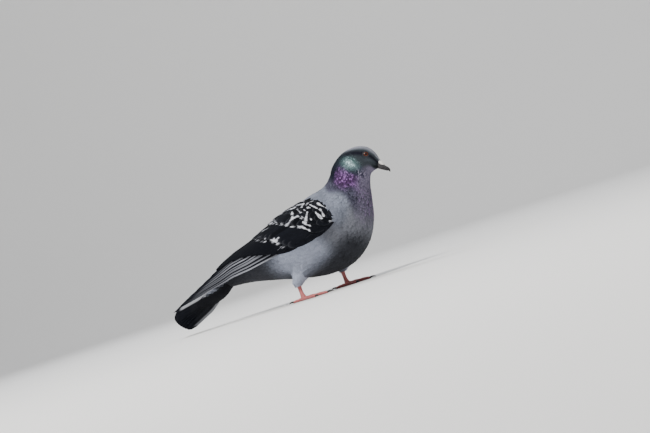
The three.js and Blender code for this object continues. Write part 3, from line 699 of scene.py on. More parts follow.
# In the tones, s is the station and fold the angle from the back line, 0 to pi on either side.

def trunk_tone(s, fold):
    """Slate with a pale flank and mantle, the mantle lighter towards the neck by a painted
    highlight, and a dark belly and vent that are painted shadow.
    """
    flank = hump(fold, 1.15, 1.55, 2.15, 2.6) * hump(s, 1.9, 3.0, 4.2, 5.4)
    low_flank = smooth(1.9, 2.1, fold) * hump(s, 2.8, 3.2, 4.2, 4.8) * 0.7
    # painted shadow: the underside behind the thighs is darker
    rear_shadow = smooth(3.2, 1.9, s) * smooth(1.35, 1.85, fold)
    # painted shadow on the belly, below an edge that moves along the trunk
    shadow_edge = np.interp(s, [3, 4, 4.5, 5, 5.5, 6, 6.5], [2.55, 2.4, 2.25, 2.12, 2.1, 2.2, 2.4])
    belly = smooth(-0.3, 0.3, fold - shadow_edge) * hump(s, 2.2, 3.0, 5.7, 6.9)
    # painted highlight: the mantle grows lighter towards the neck
    mantle = MANTLE * (0.72 + 0.33 * smooth(6.3, 7.3, s))[..., None]
    return layers(
        SLATE,
        (PALE_SLATE, flank),
        (PALE_SLATE * 0.5, low_flank),
        (DARK_SLATE * 0.9, rear_shadow),
        (BREAST, smooth(4.4, 5.6, s) * smooth(1.2, 1.9, fold)),
        (DARK_SLATE * 0.72, belly),
        # painted shadow under the rump, before the tail
        (DARK_SLATE * 0.5, smooth(1.8, 0.2, s) * smooth(1.2, 2.0, fold)),
        (mantle, smooth(5.4, 6.4, s) * smooth(2.15, 1.75, fold)),
    )


def neck_tone(s, fold, spark):
    """Dark feathers with a gloss of violet, teal and lavender as fixed colours, with painted
    highlights of violet and of pale teal; spark is 0 to 1 by feather.
    """
    start = s - 0.55 * smooth(1.5, 2.1, fold)
    front = smooth(2.0, 2.55, fold)
    bright = smooth(0.35, 0.95, spark)
    violet = smooth(7.5, 8.2, start) * smooth(10.0, 9.4, s) * smooth(0.9, 1.35, fold)
    violet = violet * (1 - 0.7 * front)
    lit_violet = mix(VIOLET, VIOLET * 1.5, bell(s, 9.0, 0.6) * bell(fold, 1.75, 0.45))
    lower = mix(MANTLE * 0.2, MANTLE * 0.4, spark) * [1.05, 0.95, 1.1]
    flecks = bell(s, 9.9, 0.32) * hump(fold, 1.5, 1.9, 2.5, 2.8)
    glow = bell(s, 10.5, 0.75) * bell(fold, 1.5, 0.5)
    # painted highlight of pale teal on the side of the neck
    teal = bell(s, 10.5, 0.5) * bell(fold, 1.6, 0.34) * (0.55 + 0.7 * spark)
    return layers(
        mix(NECK_DARK, NAPE_SHADE, smooth(1.2, 0.8, fold)),
        (VIOLET * 0.3, violet),
        (lit_violet, violet * bright),
        (lower, smooth(8.4, 7.6, start) * (1 - front) * 0.85),
        (LAVENDER, front * (0.55 + 0.45 * spark)),
        (VIOLET * 0.8, front * smooth(9.0, 8.2, s) * 0.5 * bright),
        (mix(NECK_DARK, LAVENDER * 1.4, smooth(0.45, 0.8, spark)), flecks * 0.8),
        (TEAL_DARK, np.clip(glow * 1.1, 0, 1)),
        (mix(TEAL_HIGHLIGHT * 0.7, TEAL_HIGHLIGHT * 1.1, bright), np.clip(teal, 0, 1)),
    )


def head_tone(s, fold):
    """A crown painted paler on top, partly its own colour and partly a painted highlight from
    above, a black band through the eye, a dark cheek, painted shadow under the bill and painted
    shade along the gape.
    """
    line = np.interp(s, [10.2, 11, 12.3, 12.9, 14, 15], [0.78, 0.92, 1.27, 1.33, 1.52, 1.75])
    band = bell(fold, line, np.interp(s, [10, 12, 14], [0.3, 0.26, 0.3]))
    # the crown's top is painted paler, partly a painted highlight from above
    crown = mix(CHEEK * 1.5, CROWN, smooth(1.0, 0.3, fold) * smooth(10.5, 11.8, s))
    return layers(
        mix(CHEEK, crown, smooth(-0.1, -0.6, fold - line)),
        (LAVENDER * 0.85, smooth(2.1, 2.6, fold) * smooth(12.6, 11.7, s)),
        # painted shadow under the bill
        (CHEEK * 0.3, smooth(2.2, 2.6, fold) * smooth(11.9, 12.9, s)),
        (CHEEK * 1.7, bell(s, 12.9, 0.9) * bell(fold, 1.86, 0.13) * 0.7),
        # painted shade in the groove of the gape
        (CHEEK * 0.3, bell(fold, 2.2, 0.07) * smooth(13.6, 14.2, s) * 0.8),
        (BAND, band),
    )


def body_tone(s, a, spark):
    """Colour of the short feathers at a station and angle of trunk, neck and head."""
    turned = (a + math.pi) % TURN - math.pi
    fold = np.abs(turned)
    edge = 7.0 + 0.6 * smooth(0.9, 1.6, fold) - 0.6 * smooth(1.75, 2.3, fold)
    soft = 0.4 * smooth(1.9, 2.5, fold)
    # the tones of the flank go forward with the left thigh
    stride = 1.2 * hump(turned, 1.3, 1.8, 2.6, 3.1) * hump(s, 3, 4.4, 4.8, 6.2)
    start = 10.75 + 0.25 * smooth(1.5, 2.3, fold) - 0.3 * smooth(1.0, 0.5, fold)
    # the painted teal highlight runs on onto the side of the head
    gloss = mix(TEAL_DARK, TEAL_HIGHLIGHT, smooth(0.3, 0.9, spark))
    top = np.clip(bell(s, 10.6, 0.55) * bell(fold, 1.55, 0.36) * 1.2, 0, 1)
    return layers(
        trunk_tone(s - stride, fold),
        (neck_tone(s, fold, spark), smooth(-0.25 - soft, 0.35 + soft, s - edge)),
        (mix(head_tone(s, fold), gloss, top), smooth(-0.35, 0.35, s - start)),
    )


# ---------------------------------------------------------------- short feathers

# station, gap between rows, length and width of the feathers there
COAT_SIZES = np.array([
    [0.0, 2.3, 11.0, 5.2],
    [2.0, 2.4, 11.5, 5.8],
    [4.0, 2.4, 11.5, 5.8],
    [6.0, 2.1, 9.5, 5.0],
    [7.5, 1.7, 7.4, 4.0],
    [9.0, 1.3, 5.8, 3.0],
    [10.0, 1.05, 4.8, 2.4],
    [11.0, 0.85, 4.1, 1.85],
    [12.5, 0.72, 3.4, 1.45],
    [14.0, 0.62, 2.4, 1.1],
    [15.0, 0.5, 1.7, 0.8],
])
FACE_END = LAST + 0.72  # the coat goes on a little past the last section, down to the bill
REGIONS = [  # name, the station where it ends, material and slot
    ("coat_rump", 2.6, BODY_VANE, "body_feathers"),
    ("coat_trunk", 5.2, BODY_VANE, "body_feathers"),
    ("coat_breast", 7.4, BODY_VANE, "body_feathers"),
    ("coat_neck", 10.6, NECK_VANE, "neck_feathers"),
    ("coat_head", 12.1, HEAD_VANE, "head_feathers"),
    ("coat_crown", 13.5, HEAD_VANE, "head_feathers"),
    ("coat_face", LAST + 1, HEAD_VANE, "head_feathers"),
]

EYE_PLACE = np.array(12.9), np.array(math.radians(77))  # station and angle
# radius of the eyeball, how deep its middle lies under the head, and radius of the lids
EYE_RADIUS, EYE_SUNK, LID_RADIUS = 4.6, 3.85, 3.1
EYE_SKIN = body(*EYE_PLACE)
_, eye_ahead, eye_down, _ = face_normal(body, body_axis, *EYE_PLACE, ROUND_STEP)


def coat_size(s):
    return [np.interp(s, COAT_SIZES[:, 0], COAT_SIZES[:, k]) for k in (1, 2, 3)]


def coat_depth(s):
    """How deep the skin lies under the outline."""
    return np.interp(s, [0, 5, 8, 10, 12, 15], [1.5, 1.5, 1.1, 0.8, 0.55, 0.35])


def body_places():
    """Stations and angles of all the short feathers' roots."""
    rows, s = [], 0.12
    ring = np.linspace(-math.pi, math.pi, 60)
    while s < FACE_END:
        rows.append(s)
        s += coat_size(s)[0] / pace(body, s + 0 * ring, ring).mean()
    shifts = rng.uniform(-0.1, 0.1, len(rows))
    s, a = staggered(coat_body, rows, coat_size(rows)[2] * 0.55, shifts)
    gap, _, width = coat_size(s)
    s = s + rng.normal(0, 0.2, len(s)) * gap / 12
    a = a + rng.normal(0, 0.12, len(a)) * width / 18
    return s, a


def under_wing(p, margin):
    """Whether points lie well inside the outline of a folded wing, seen from the side."""
    x, y, z = (p - SHIFT).T
    top, bottom, inner = (np.interp(x, WING[::-1, 0], WING[::-1, k]) for k in (2, 5, 1))
    inside = (z < top - margin) & (z > bottom + margin)
    return inside & (np.abs(y) > margin * 0.5 - inner) & (x < 76 - margin)


def short_colours(p, s, a, t):
    """Colours of feathers that have their roots at points and show at stations and angles."""
    spark = np.clip(rng.random(len(s)) ** 1.3 * 0.95 + 0.2 * mottle(p, 4), 0, 1)
    neck = hump(s, 6.7, 7.7, 10.6, 11.2)
    uneven = 1 + 0.10 * mottle(p, 14) * (1 - neck) + rng.normal(0, 0.045, len(s))
    tone = body_tone(s, a, spark) * uneven[:, None]
    tip, edge = smooth(0.5, 0.95, t)[:, None], np.linspace(-1, 1, SOFT_COLUMNS) ** 2
    # each feather is painted a little darker at its root and edges, painted shade where others
    # overlap it; on the neck its tip is painted bright and the rest dark, painted sheen and shade
    plain, neck_sheen = 0.94 + 0.12 * tip - 0.04 * edge, 0.45 + 0.75 * tip * (1 - 0.35 * edge)
    shade = plain + neck[:, None, None] * (neck_sheen - plain)
    return tone[:, None, None] * shade[..., None]


def short_feathers():
    """The coat of trunk, neck and head in pieces by region."""
    s, a = body_places()
    p = coat_body(s, a)
    eye_gap = np.min([np.linalg.norm(p - EYE_SKIN * [1, side, 1], axis=1) for side in SIDES], 0)
    keep = ~under_wing(p, 8.0) & (eye_gap > LID_RADIUS + 0.35)
    s, a, p = s[keep], a[keep], p[keep]
    gap, length, width = coat_size(s)
    count = len(s)
    length = length * rng.uniform(0.9, 1.12, count)
    width = width * rng.uniform(0.92, 1.1, count)
    t = 1 - (1 - np.linspace(0, 1, 7)) ** 1.35
    turn = rng.normal(0, 0.09, count)
    around = np.maximum(pace(body, s, a, 0, 0.02), 0.5)
    path_s = s[:, None] - t * (length * np.cos(turn) / pace(body, s, a))[:, None]
    path_a = a[:, None] + t * (length * np.sin(turn) / around)[:, None]
    full = width[:, None] * outline(t, 0.5, 0.45, 0.55)
    stand = (rng.normal(0.02, 0.045, count) * gap)[:, None]
    rise = -coat_depth(s)[:, None] * (1 - t) ** 1.8 - 0.05 * gap[:, None] + stand * t**2
    points = soft_vanes(coat_body, body_axis, path_s, path_a, full, rise, (0.02, 0.01))
    colours = short_colours(p, path_s[:, 4], path_a[:, 4], t)
    place = stack(s / (FACE_END + 0.1), (a + math.pi) / TURN * 0.98 + 0.01)
    coats, start = [], 0
    for name, end, material, slot in REGIONS:
        pick = (s >= start) & (s < end)
        parts = points[pick], full[pick], colours[pick], place[pick]
        coats.append(soft_coat(name, material, slot, *parts))
        start = end
    return coats


# ---------------------------------------------------------------- wings

RIGHT_WING = wing_at(-1)
# how far the coverts and the flight feathers may reach along and down the wing
COVERT_LIMITS = ((0.005, 1.02), (-0.08, 1.05))
FLIGHT_LIMITS = ((0.005, 1.0), (-0.02, 1.02))
WING_LENGTH = 237.0  # from wrist to tip
CHORDS = np.linalg.norm(WING[:, 3:6] - WING[:, 0:3], axis=1)

# pale strokes over the coverts: from and to, along and down the wing, half width in mm, strength
# (picked by eye in the photo, then laid on the wing and rounded by scratch programs, but for those
# over the back)
MARKS = [
    # the line at the ends of the median coverts
    (0.455, 0.17, 0.425, 0.25, 0.9, 1), (0.410, 0.33, 0.390, 0.40, 0.8, 1),
    (0.380, 0.44, 0.370, 0.48, 0.7, 1), (0.355, 0.53, 0.330, 0.62, 0.9, 1),
    (0.330, 0.62, 0.285, 0.72, 0.8, 1), (0.290, 0.72, 0.275, 0.71, 1.1, 1),
    (0.275, 0.75, 0.250, 0.83, 1.2, 1), (0.455, 0.17, 0.355, 0.53, 0.3, 0.7),
    (0.285, 0.72, 0.250, 0.81, 0.4, 0.8),
    # edges between the feathers before it
    (0.350, 0.55, 0.320, 0.45, 1.1, 1), (0.325, 0.45, 0.325, 0.29, 1.0, 1),
    (0.340, 0.15, 0.315, 0.20, 1.0, 1), (0.385, 0.08, 0.340, 0.13, 0.6, 0.7),
    (0.320, 0.46, 0.295, 0.47, 0.7, 1), (0.295, 0.47, 0.275, 0.55, 0.7, 1),
    (0.315, 0.13, 0.270, 0.18, 1.1, 0.6), (0.270, 0.17, 0.275, 0.29, 0.7, 1),
    (0.300, 0.28, 0.280, 0.41, 0.6, 0.9), (0.280, 0.40, 0.270, 0.40, 0.7, 1),
    (0.260, 0.36, 0.240, 0.44, 0.6, 0.8), (0.240, 0.44, 0.260, 0.68, 1.2, 1),
    (0.270, 0.63, 0.255, 0.73, 0.7, 1), (0.260, 0.70, 0.240, 0.75, 0.7, 1),
    (0.250, 0.24, 0.235, 0.19, 0.6, 1), (0.240, 0.32, 0.225, 0.34, 0.8, 1),
    (0.225, 0.27, 0.180, 0.43, 0.7, 1), (0.180, 0.43, 0.160, 0.51, 0.9, 1),
    (0.165, 0.48, 0.155, 0.67, 1.4, 1), (0.195, 0.52, 0.170, 0.72, 1.3, 1),
    (0.180, 0.26, 0.155, 0.36, 0.9, 1), (0.155, 0.36, 0.130, 0.47, 0.5, 1),
    (0.140, 0.21, 0.135, 0.21, 0.7, 1), (0.130, 0.32, 0.120, 0.24, 0.5, 0.8),
    (0.230, 0.61, 0.225, 0.64, 0.6, 0.9), (0.275, 0.50, 0.265, 0.55, 0.5, 0.8),
    (0.430, 0.16, 0.410, 0.30, 0.5, 0.6), (0.210, 0.15, 0.230, 0.18, 0.5, 0.6),
    # over the back, out of the photo's sight
    (0.300, 0.02, 0.270, 0.06, 0.8, 0.9), (0.350, 0.00, 0.330, 0.05, 0.6, 0.8),
    (0.410, 0.04, 0.390, 0.08, 0.6, 0.8), (0.460, 0.06, 0.440, 0.12, 0.6, 0.7),
    (0.220, 0.04, 0.200, 0.10, 0.6, 0.8),
    # the line at the ends of the greater coverts
    (0.535, 0.34, 0.505, 0.47, 0.7, 1), (0.510, 0.44, 0.505, 0.39, 0.5, 1),
    (0.495, 0.52, 0.465, 0.63, 0.6, 1), (0.475, 0.59, 0.470, 0.55, 0.5, 1),
    (0.440, 0.66, 0.415, 0.73, 1.1, 1), (0.420, 0.67, 0.435, 0.74, 0.9, 1),
    (0.415, 0.73, 0.410, 0.80, 1.6, 1), (0.415, 0.77, 0.420, 0.83, 1.2, 1),
    (0.400, 0.69, 0.410, 0.74, 0.8, 1), (0.410, 0.85, 0.390, 0.90, 0.4, 0.6),
    # edges of the innermost secondaries, and of the wing at the wrist
    (0.565, 0.09, 0.450, 0.30, 0.3, 0.55), (0.135, 0.91, 0.120, 0.94, 0.8, 0.6),
]


def drawn_marks(u, v):
    """How pale the strokes make places on a folded wing, 0 to 1."""
    chord = np.interp(u, np.linspace(0, 1, len(CHORDS)), CHORDS)
    place = stack(u * WING_LENGTH * 0.3, v * chord, 0 * u)
    ragged = 0.5 * mottle(place, 1.0) + 0.5 * mottle(place, 2.2)
    pale = np.zeros(u.shape)
    for k, (u0, v0, u1, v1, half, strength) in enumerate(MARKS):
        au, av = (u - u0) * WING_LENGTH, (v - v0) * chord
        bu, bv = (u1 - u0) * WING_LENGTH, (v1 - v0) * chord
        share = np.clip((au * bu + av * bv) / (bu * bu + bv * bv), 0, 1)
        gap = np.hypot(au - share * bu, av - share * bv)
        wide = half * (0.8 + 0.35 * np.sin(5 * share + 2.4 * k)) + 0.7 * ragged
        pale = np.maximum(pale, strength * smooth(0.25, -0.2, gap - wide))
    return pale


def wing_vanes(coat, side, path_u, path_v, width, lift, depth, paint, columns=9, thin=0.16,
               shape=(0.5, 0.45, 0.7), sink=0.5, cup=0.4, fray=0.02, round_end=0.4,
               limits=COVERT_LIMITS, marked=True):
    """Vanes on a wing along paths (n, R), painted by paint(t, w, order).

    t is 0 at the root and 1 at the tip, w is -1 at the upper and 1 at the lower edge.
    """
    count, rows = path_u.shape
    t, w = np.linspace(0, 1, rows), np.linspace(-1, 1, columns)
    width, lift = (np.broadcast_to(np.asarray(x, float), count)[:, None] for x in (width, lift))
    full = width * outline(t, *shape)
    rise = -sink * (1 - t) + lift * t**0.8 - depth
    height = rise[:, :, None] - cup * w**2 * (0.4 + 0.6 * t)[:, None]
    points, u, v = lay(
        *RIGHT_WING, path_u, path_v, full, height, WING_STEP, fray * width[:, :, None], round_end,
        limits,
    )
    t = t[:, None]
    colours = np.broadcast_to(paint(t, w, np.arange(count)[:, None, None]), points.shape)
    if marked:
        # a covert can be pale at its margins and its end, but not in the middle of its root
        at_edges = np.clip(smooth(0.12, 0.4, np.abs(w)) + smooth(0.55, 0.75, t), 0, 1)
        front = smooth(0.085, 0.045, u + 0.02 * mottle(points, 5)) * smooth(0.85, 0.7, v)
        pale = drawn_marks(u, v) * at_edges
        colours = layers(colours, (CHEQUER_WHITE, pale), (MANTLE * 0.8, front))
    middle = rows // 2
    inside = RIGHT_WING[1](path_u[:, middle], path_v[:, middle])
    hint = unit(points[:, middle, columns // 2] - inside)
    place = stack(path_u[:, 0] * 0.9 + 0.05, path_v[:, 0] * 0.4 + (0.05 if side < 0 else 0.55))
    # the undersides are painted at 0.7 of the upper sides, painted shade
    coat.add(points, full, colours, place, colours * 0.7, thin, hint, mirror=side > 0)


def tier(coat, side, count, upper, lower, jitter, rows, width, lift, depth, paint, bow=0.0, **vane):
    """A tier of vanes between its upper and its lower one, each from a root to a tip place."""
    share, t = np.linspace(0, 1, count)[:, None], np.linspace(0, 1, rows)
    place = np.array(upper) * (1 - share) + np.array(lower) * share
    place = place + rng.normal(0, jitter, place.shape) * [1, 1.6, 1, 1.6]
    u = place[:, 0, None] * (1 - t) + place[:, 2, None] * t
    v = place[:, 1, None] * (1 - t) + place[:, 3, None] * t + bow * np.sin(np.pi * t)
    wing_vanes(coat, side, u, v, width, lift, depth, paint, **vane)


def covert_black(t, w, order):
    """Black feathers of uneven depth with a faint rim."""
    base = WING_BLACK * rng.uniform(0.7, 1.6, (len(order), 1, 1, 1))
    rim = np.maximum(smooth(0.86, 1.0, np.abs(w)), smooth(0.9, 1.0, t)) * 0.07
    return mix(base, SILVER, rim + 0 * order)


def plain_black(rims):
    """Black feathers, the upper ones with a thin pale upper edge."""

    def paint(t, w, order):
        share = np.clip(1 - order / max(rims, 1), 0, 1)
        rim = smooth(0.84, 0.97, -w) * share * 0.4 * smooth(0.05, 0.2, t)
        faint = smooth(0.9, 1.0, np.abs(w)) * 0.04
        return mix(WING_BLACK * 1.1, SILVER * 1.4, np.clip(rim + faint, 0, 1))

    return paint


# where the primaries end along the wing, from the lowest up, and their width
PRIMARY_TIPS = [0.98, 1.0, 0.975, 0.945, 0.91, 0.875, 0.835, 0.79]
PRIMARY_WIDE = 9.0
PRIMARY_STEP = 0.38  # each lies this much deeper than the one above it


def primary_paint(k, u):
    """A dark primary with a silver web on its lower side."""
    bright = np.interp(u, [0.45, 0.52, 0.66, 0.8, 0.95], [0.5, 0.95, 0.8, 0.45, 0.2])[:, None]
    bright = bright * (0.8 + 0.2 * math.cos(k * 1.7))

    def paint(t, w, order):
        inner = 0.56 + 0.14 * math.sin(k * 2.4) + 0.05 * np.sin(9 * t + k)
        web = smooth(inner, inner + 0.16, w) * bright * smooth(1, 0.9, t)
        return mix(WING_BLACK * 1.6, SILVER, web)

    return paint


def primaries(coat, side):
    last = len(PRIMARY_TIPS) - 1
    for k, tip in enumerate(PRIMARY_TIPS):
        u, t = np.linspace(0.38, tip, 34), np.linspace(0, 1, 34)
        row = spline(WING, u * 10)
        chord = np.linalg.norm(row[:, 3:6] - row[:, 0:3], axis=1)
        # the lower edges of the lowest and of the uppermost primary, down the wing
        low = [0.97, 1, 0.99, 0.92, 0.8, 0.7, 0.55]
        low = np.interp(u, [0.4, 0.6, 0.68, 0.76, 0.85, 0.92, 1], low)
        high = np.interp(u, np.linspace(0.4, 1, 7), [0.5, 0.46, 0.42, 0.3, 0.22, 0.18, 0.25])
        shape = (0.9, 0.3, 0.5)
        v = low + (high - low) * k / last - PRIMARY_WIDE / 2 * outline(t, *shape) / chord
        wing_vanes(
            coat, side, u[None], v[None], PRIMARY_WIDE, 0.4, 0.5 + (last - k) * PRIMARY_STEP,
            primary_paint(k, u), columns=15, thin=0.28, shape=shape, sink=0.2, cup=0.25,
            fray=0.004, round_end=0.7, limits=FLIGHT_LIMITS, marked=False,
        )


def wing_coat(side):
    long_coat, short_coat = Coat(), Coat()
    primaries(long_coat, side)
    # secondaries, the uppermost of them longest and on top
    tier(
        long_coat, side, 10, (0.43, 0.05, 0.8, 0.14), (0.3, 0.93, 0.48, 0.86), 0.004, 22,
        np.linspace(14, 11, 10), np.linspace(1.0, 0.5, 10), 0.25, plain_black(4), bow=0.02,
        columns=11, thin=0.3, shape=(0.7, 0.35, 0.5), fray=0.006, round_end=0.6,
        limits=FLIGHT_LIMITS,
    )
    # greater coverts of the hand, dark along the lower edge
    tier(
        long_coat, side, 6, (0.24, 0.84, 0.43, 0.93), (0.08, 0.97, 0.2, 0.99), 0, 16,
        7, 0.8, 0.2, plain_black(0), thin=0.25, shape=(0.6, 0.45, 0.6), fray=0.008,
        limits=FLIGHT_LIMITS,
    )
    # greater coverts
    tier(
        long_coat, side, 10, (0.36, 0.08, 0.565, 0.2), (0.2, 0.93, 0.37, 0.91), 0.003, 28,
        12.5, np.linspace(1.3, 0.9, 10), 0.1, covert_black, bow=0.01,
        columns=21, thin=0.25, shape=(0.6, 0.5, 0.72), fray=0.012, limits=FLIGHT_LIMITS,
    )
    long_coat.make(f"wing_{SIDES[side]}_flight", WING_VANE, "wing_feathers")
    # median coverts
    tier(
        short_coat, side, 9, (0.3, 0.06, 0.462, 0.14), (0.12, 0.86, 0.255, 0.82), 0.004, 26,
        12, 1.8, 0.1, covert_black, columns=21, fray=0.015,
    )
    # lesser coverts in rows, from the median ones to the wrist
    for i, lift in enumerate((2.0, 2.0, 2.0, 1.8, 1.3, 0.8)):
        upper = (0.29 - 0.052 * i, 0.08, 0.395 - 0.057 * i, 0.11)
        lower = (0.12 - 0.02 * i, 0.8 - 0.01 * i, 0.21 - 0.032 * i, 0.78 - 0.015 * i)
        tier(
            short_coat, side, 7 if i < 4 else 6, upper, lower, 0.006, 24,
            11.5 - 0.8 * i, lift, 0.1, covert_black, columns=19, fray=0.015,
        )
    # scapulars over the wing's upper edge
    for i, lift in enumerate((2.3, 2.3, 2.3, 2.2, 1.7, 1.2)):
        upper = (0.33 - 0.055 * i, 0.08, 0.45 - 0.06 * i, 0.08 + 0.012 * i)
        lower = (0.28 - 0.05 * i, 0.27, 0.4 - 0.055 * i, 0.3)
        tier(
            short_coat, side, 4, upper, lower, 0.005, 24,
            12 - 0.8 * i, lift, 0.1, covert_black, columns=19, fray=0.015,
        )
    short_coat.make(f"wing_{SIDES[side]}_coverts", WING_VANE, "wing_feathers")
    return [long_coat, short_coat]


# ---------------------------------------------------------------- tail

TAIL_PAIRS = 6
TAIL_FAN = math.radians(12)  # turn of the outermost feather from the middle
# width and thickness of a feather, the step down to the next, and where it starts from the hub
TAIL_WIDE, TAIL_THICK, TAIL_STEP, TAIL_ROOT = 15, 0.35, 0.7, 24


def tail_feather(coat, order, side, left, up):
    """One of the tail's feathers; the outermost are the last in order and lie lowest."""
    rows, columns = 30, 13
    t, w = np.linspace(0, 1, rows)[:, None], np.linspace(-1, 1, columns)
    outer = (order + 0.5) / (TAIL_PAIRS - 0.5)
    turn = side * TAIL_FAN * outer
    onward = TAIL_ONWARD * math.cos(turn) + left * math.sin(turn)
    sink = TAIL_STEP * (order + (0.5 if side > 0 else 0)) * (0.15 + 0.85 * smooth(0.05, 0.5, t))
    tip = TAIL_LENGTH + outer * (side * 8 - outer * 3.5)
    full = TAIL_WIDE * (0.42 + 0.58 * smooth(0, 0.5, t)) * (1 - 0.3 * smooth(0.9, 1, t))
    middle = TAIL_HUB + left * side * 2 * outer + onward * (TAIL_ROOT + (tip - TAIL_ROOT) * t)
    bow = 0.35 * (1 - w**2) - 0.25 * np.sin(np.pi * t) - sink
    trim = -2.6 * w**2 * t**3
    points = middle[:, None] + np.cross(up, onward) * (full * w / 2)[..., None] + SHIFT
    points = points + up * bow[..., None] + onward * trim[..., None]
    points = points[None] + rng.normal(0, 0.03, (1, rows, columns, 1)) * up
    lit = smooth(0.8, 0.62, t) + 0 * w
    base = mix(DARK_SLATE * 0.5, DARK_SLATE * 1.3, lit)
    # the underside is painted darker than the upper side, painted shade
    under = mix(WING_BLACK * 2, DARK_SLATE * 0.4, lit)
    if order == TAIL_PAIRS - 1:
        pale = smooth(0.3, 0.42, -side * w) * hump(t, 0.02, 0.1, 0.84, 0.93)
        # painted shade: the pale web of the left outer feather is weaker
        pale = pale * (1 if side < 0 else 0.45)
        base, under = (mix(tone, CHEQUER_WHITE * 0.7, pale) for tone in (base, under))
    shaft = (1 - 0.4 * bell(w, 0, 0.06))[:, None]
    place = np.array([[0.5 + 0.08 * side * (order + 0.5), 0.9]])
    coat.add(
        points, full.T, (base * shaft)[None], place, (under * shaft)[None], TAIL_THICK, up[None]
    )


def tail_coverts():
    """The short feathers round the roots of the tail's."""
    t, rows = np.linspace(0, 1, 7), np.arange(-0.6, 2.5, 0.16)
    q, a = staggered(lambda q, a: tail_root(np.maximum(q, 0), a), rows, 3.4)
    count = len(q)
    q = q + rng.normal(0, 0.03, count)
    length = rng.uniform(11, 15, count) * (1 - 0.25 * smooth(1.9, 2.4, q))
    rate = np.maximum(pace(tail_root, q, a), 6)
    path_q = np.minimum(q[:, None] + t * (length / rate)[:, None], len(TAIL_ROWS) - 1 - 0.03)
    full = 6.4 * outline(t, 0.5, 0.5, 0.65) * rng.uniform(0.9, 1.1, (count, 1))
    rise = -0.8 * (1 - t) ** 1.5 + rng.normal(0.05, 0.07, (count, 1)) * t
    points = soft_vanes(tail_root, tail_axis, path_q, a[:, None] + 0 * t, full, rise, ROUND_STEP)
    upper = mix(SLATE * 0.85, SLATE * 0.4, smooth(1.2, 2.3, q))
    # dark underneath: painted shadow under the tail
    tone = layers(
        DARK_SLATE * 0.3, (upper, smooth(1.9, 1.1, np.abs(a))),
        (CHEQUER_WHITE * 0.5, bell(a, -1.42, 0.24) * smooth(0.6, 1.4, q)),
    )
    # each feather is painted darker at its root, painted shade under those that overlap it
    colours = along_rows(tone * rng.uniform(0.9, 1.1, (count, 1)), 0.8 + 0.28 * t)
    place = stack(q / 5 + 0.15, (a + math.pi) / TURN)
    return soft_coat("tail_coverts", TAIL_VANE, "tail_feathers", points, full, colours, place)


def tail_coat():
    """Twelve tail feathers in a stack, and the coverts round their roots."""
    coat = Coat()
    axes = tail_axes(TAIL_TWIST)
    for order in range(TAIL_PAIRS):
        for side in SIDES:
            tail_feather(coat, order, side, *axes)
    coat.make("tail_flight", TAIL_VANE, "tail_feathers")
    return [coat, tail_coverts()]


# ---------------------------------------------------------------- thighs

# levels of the first row of feathers, of the end of the rows and of the surface's end
THIGH_FIRST, THIGH_LAST, THIGH_END = 1.7, 5.0, 5.3


def thigh_surface(side):
    """The coat's outline on a thigh, flared where it runs into the trunk."""
    boot, _ = boot_at(side)
    k, a = grid(np.linspace(0, THIGH_END, 54), np.linspace(-math.pi, math.pi, 73))
    out = np.full(k.shape, 9.0)
    for _ in range(16):
        out = np.clip(out - soft_min(out, trunk_gap(boot(k, a, out)), 9.0), 0, 12)
    return lambda k, a: boot(k, a, between(out, THIGH_END, *np.broadcast_arrays(k, a)))


def nearest_tones(coats):
    """A function that gives the colour of the feather nearest to a point in millimetres."""
    middles = np.concatenate([middle for coat in coats for middle in coat.middles])
    tones = np.concatenate([tone for coat in coats for tone in coat.tones])
    tree = kdtree.KDTree(len(middles))
    for i, p in enumerate(middles):
        tree.insert(p, i)
    tree.balance()
    return lambda p: tones[tree.find(p)[1]]


def thigh_places(surface, boot):
    """Levels and angles of a thigh's feathers where it is clear of the trunk, and how clear."""
    rows, k = [], THIGH_FIRST
    while k < THIGH_LAST:
        rows.append(k)
        k += np.interp(k, [0, 3, 5], [0.26, 0.24, 0.2])
    k, a = staggered(surface, rows, np.interp(rows, [0, 3, 5], [2.7, 2.1, 1.5]))
    p = surface(k, a)
    gap = trunk_gap(p)
    keep = (gap > -1.2) & (np.linalg.norm(p - boot(k, a), axis=-1) < 4.5)
    return k[keep], a[keep], gap[keep]


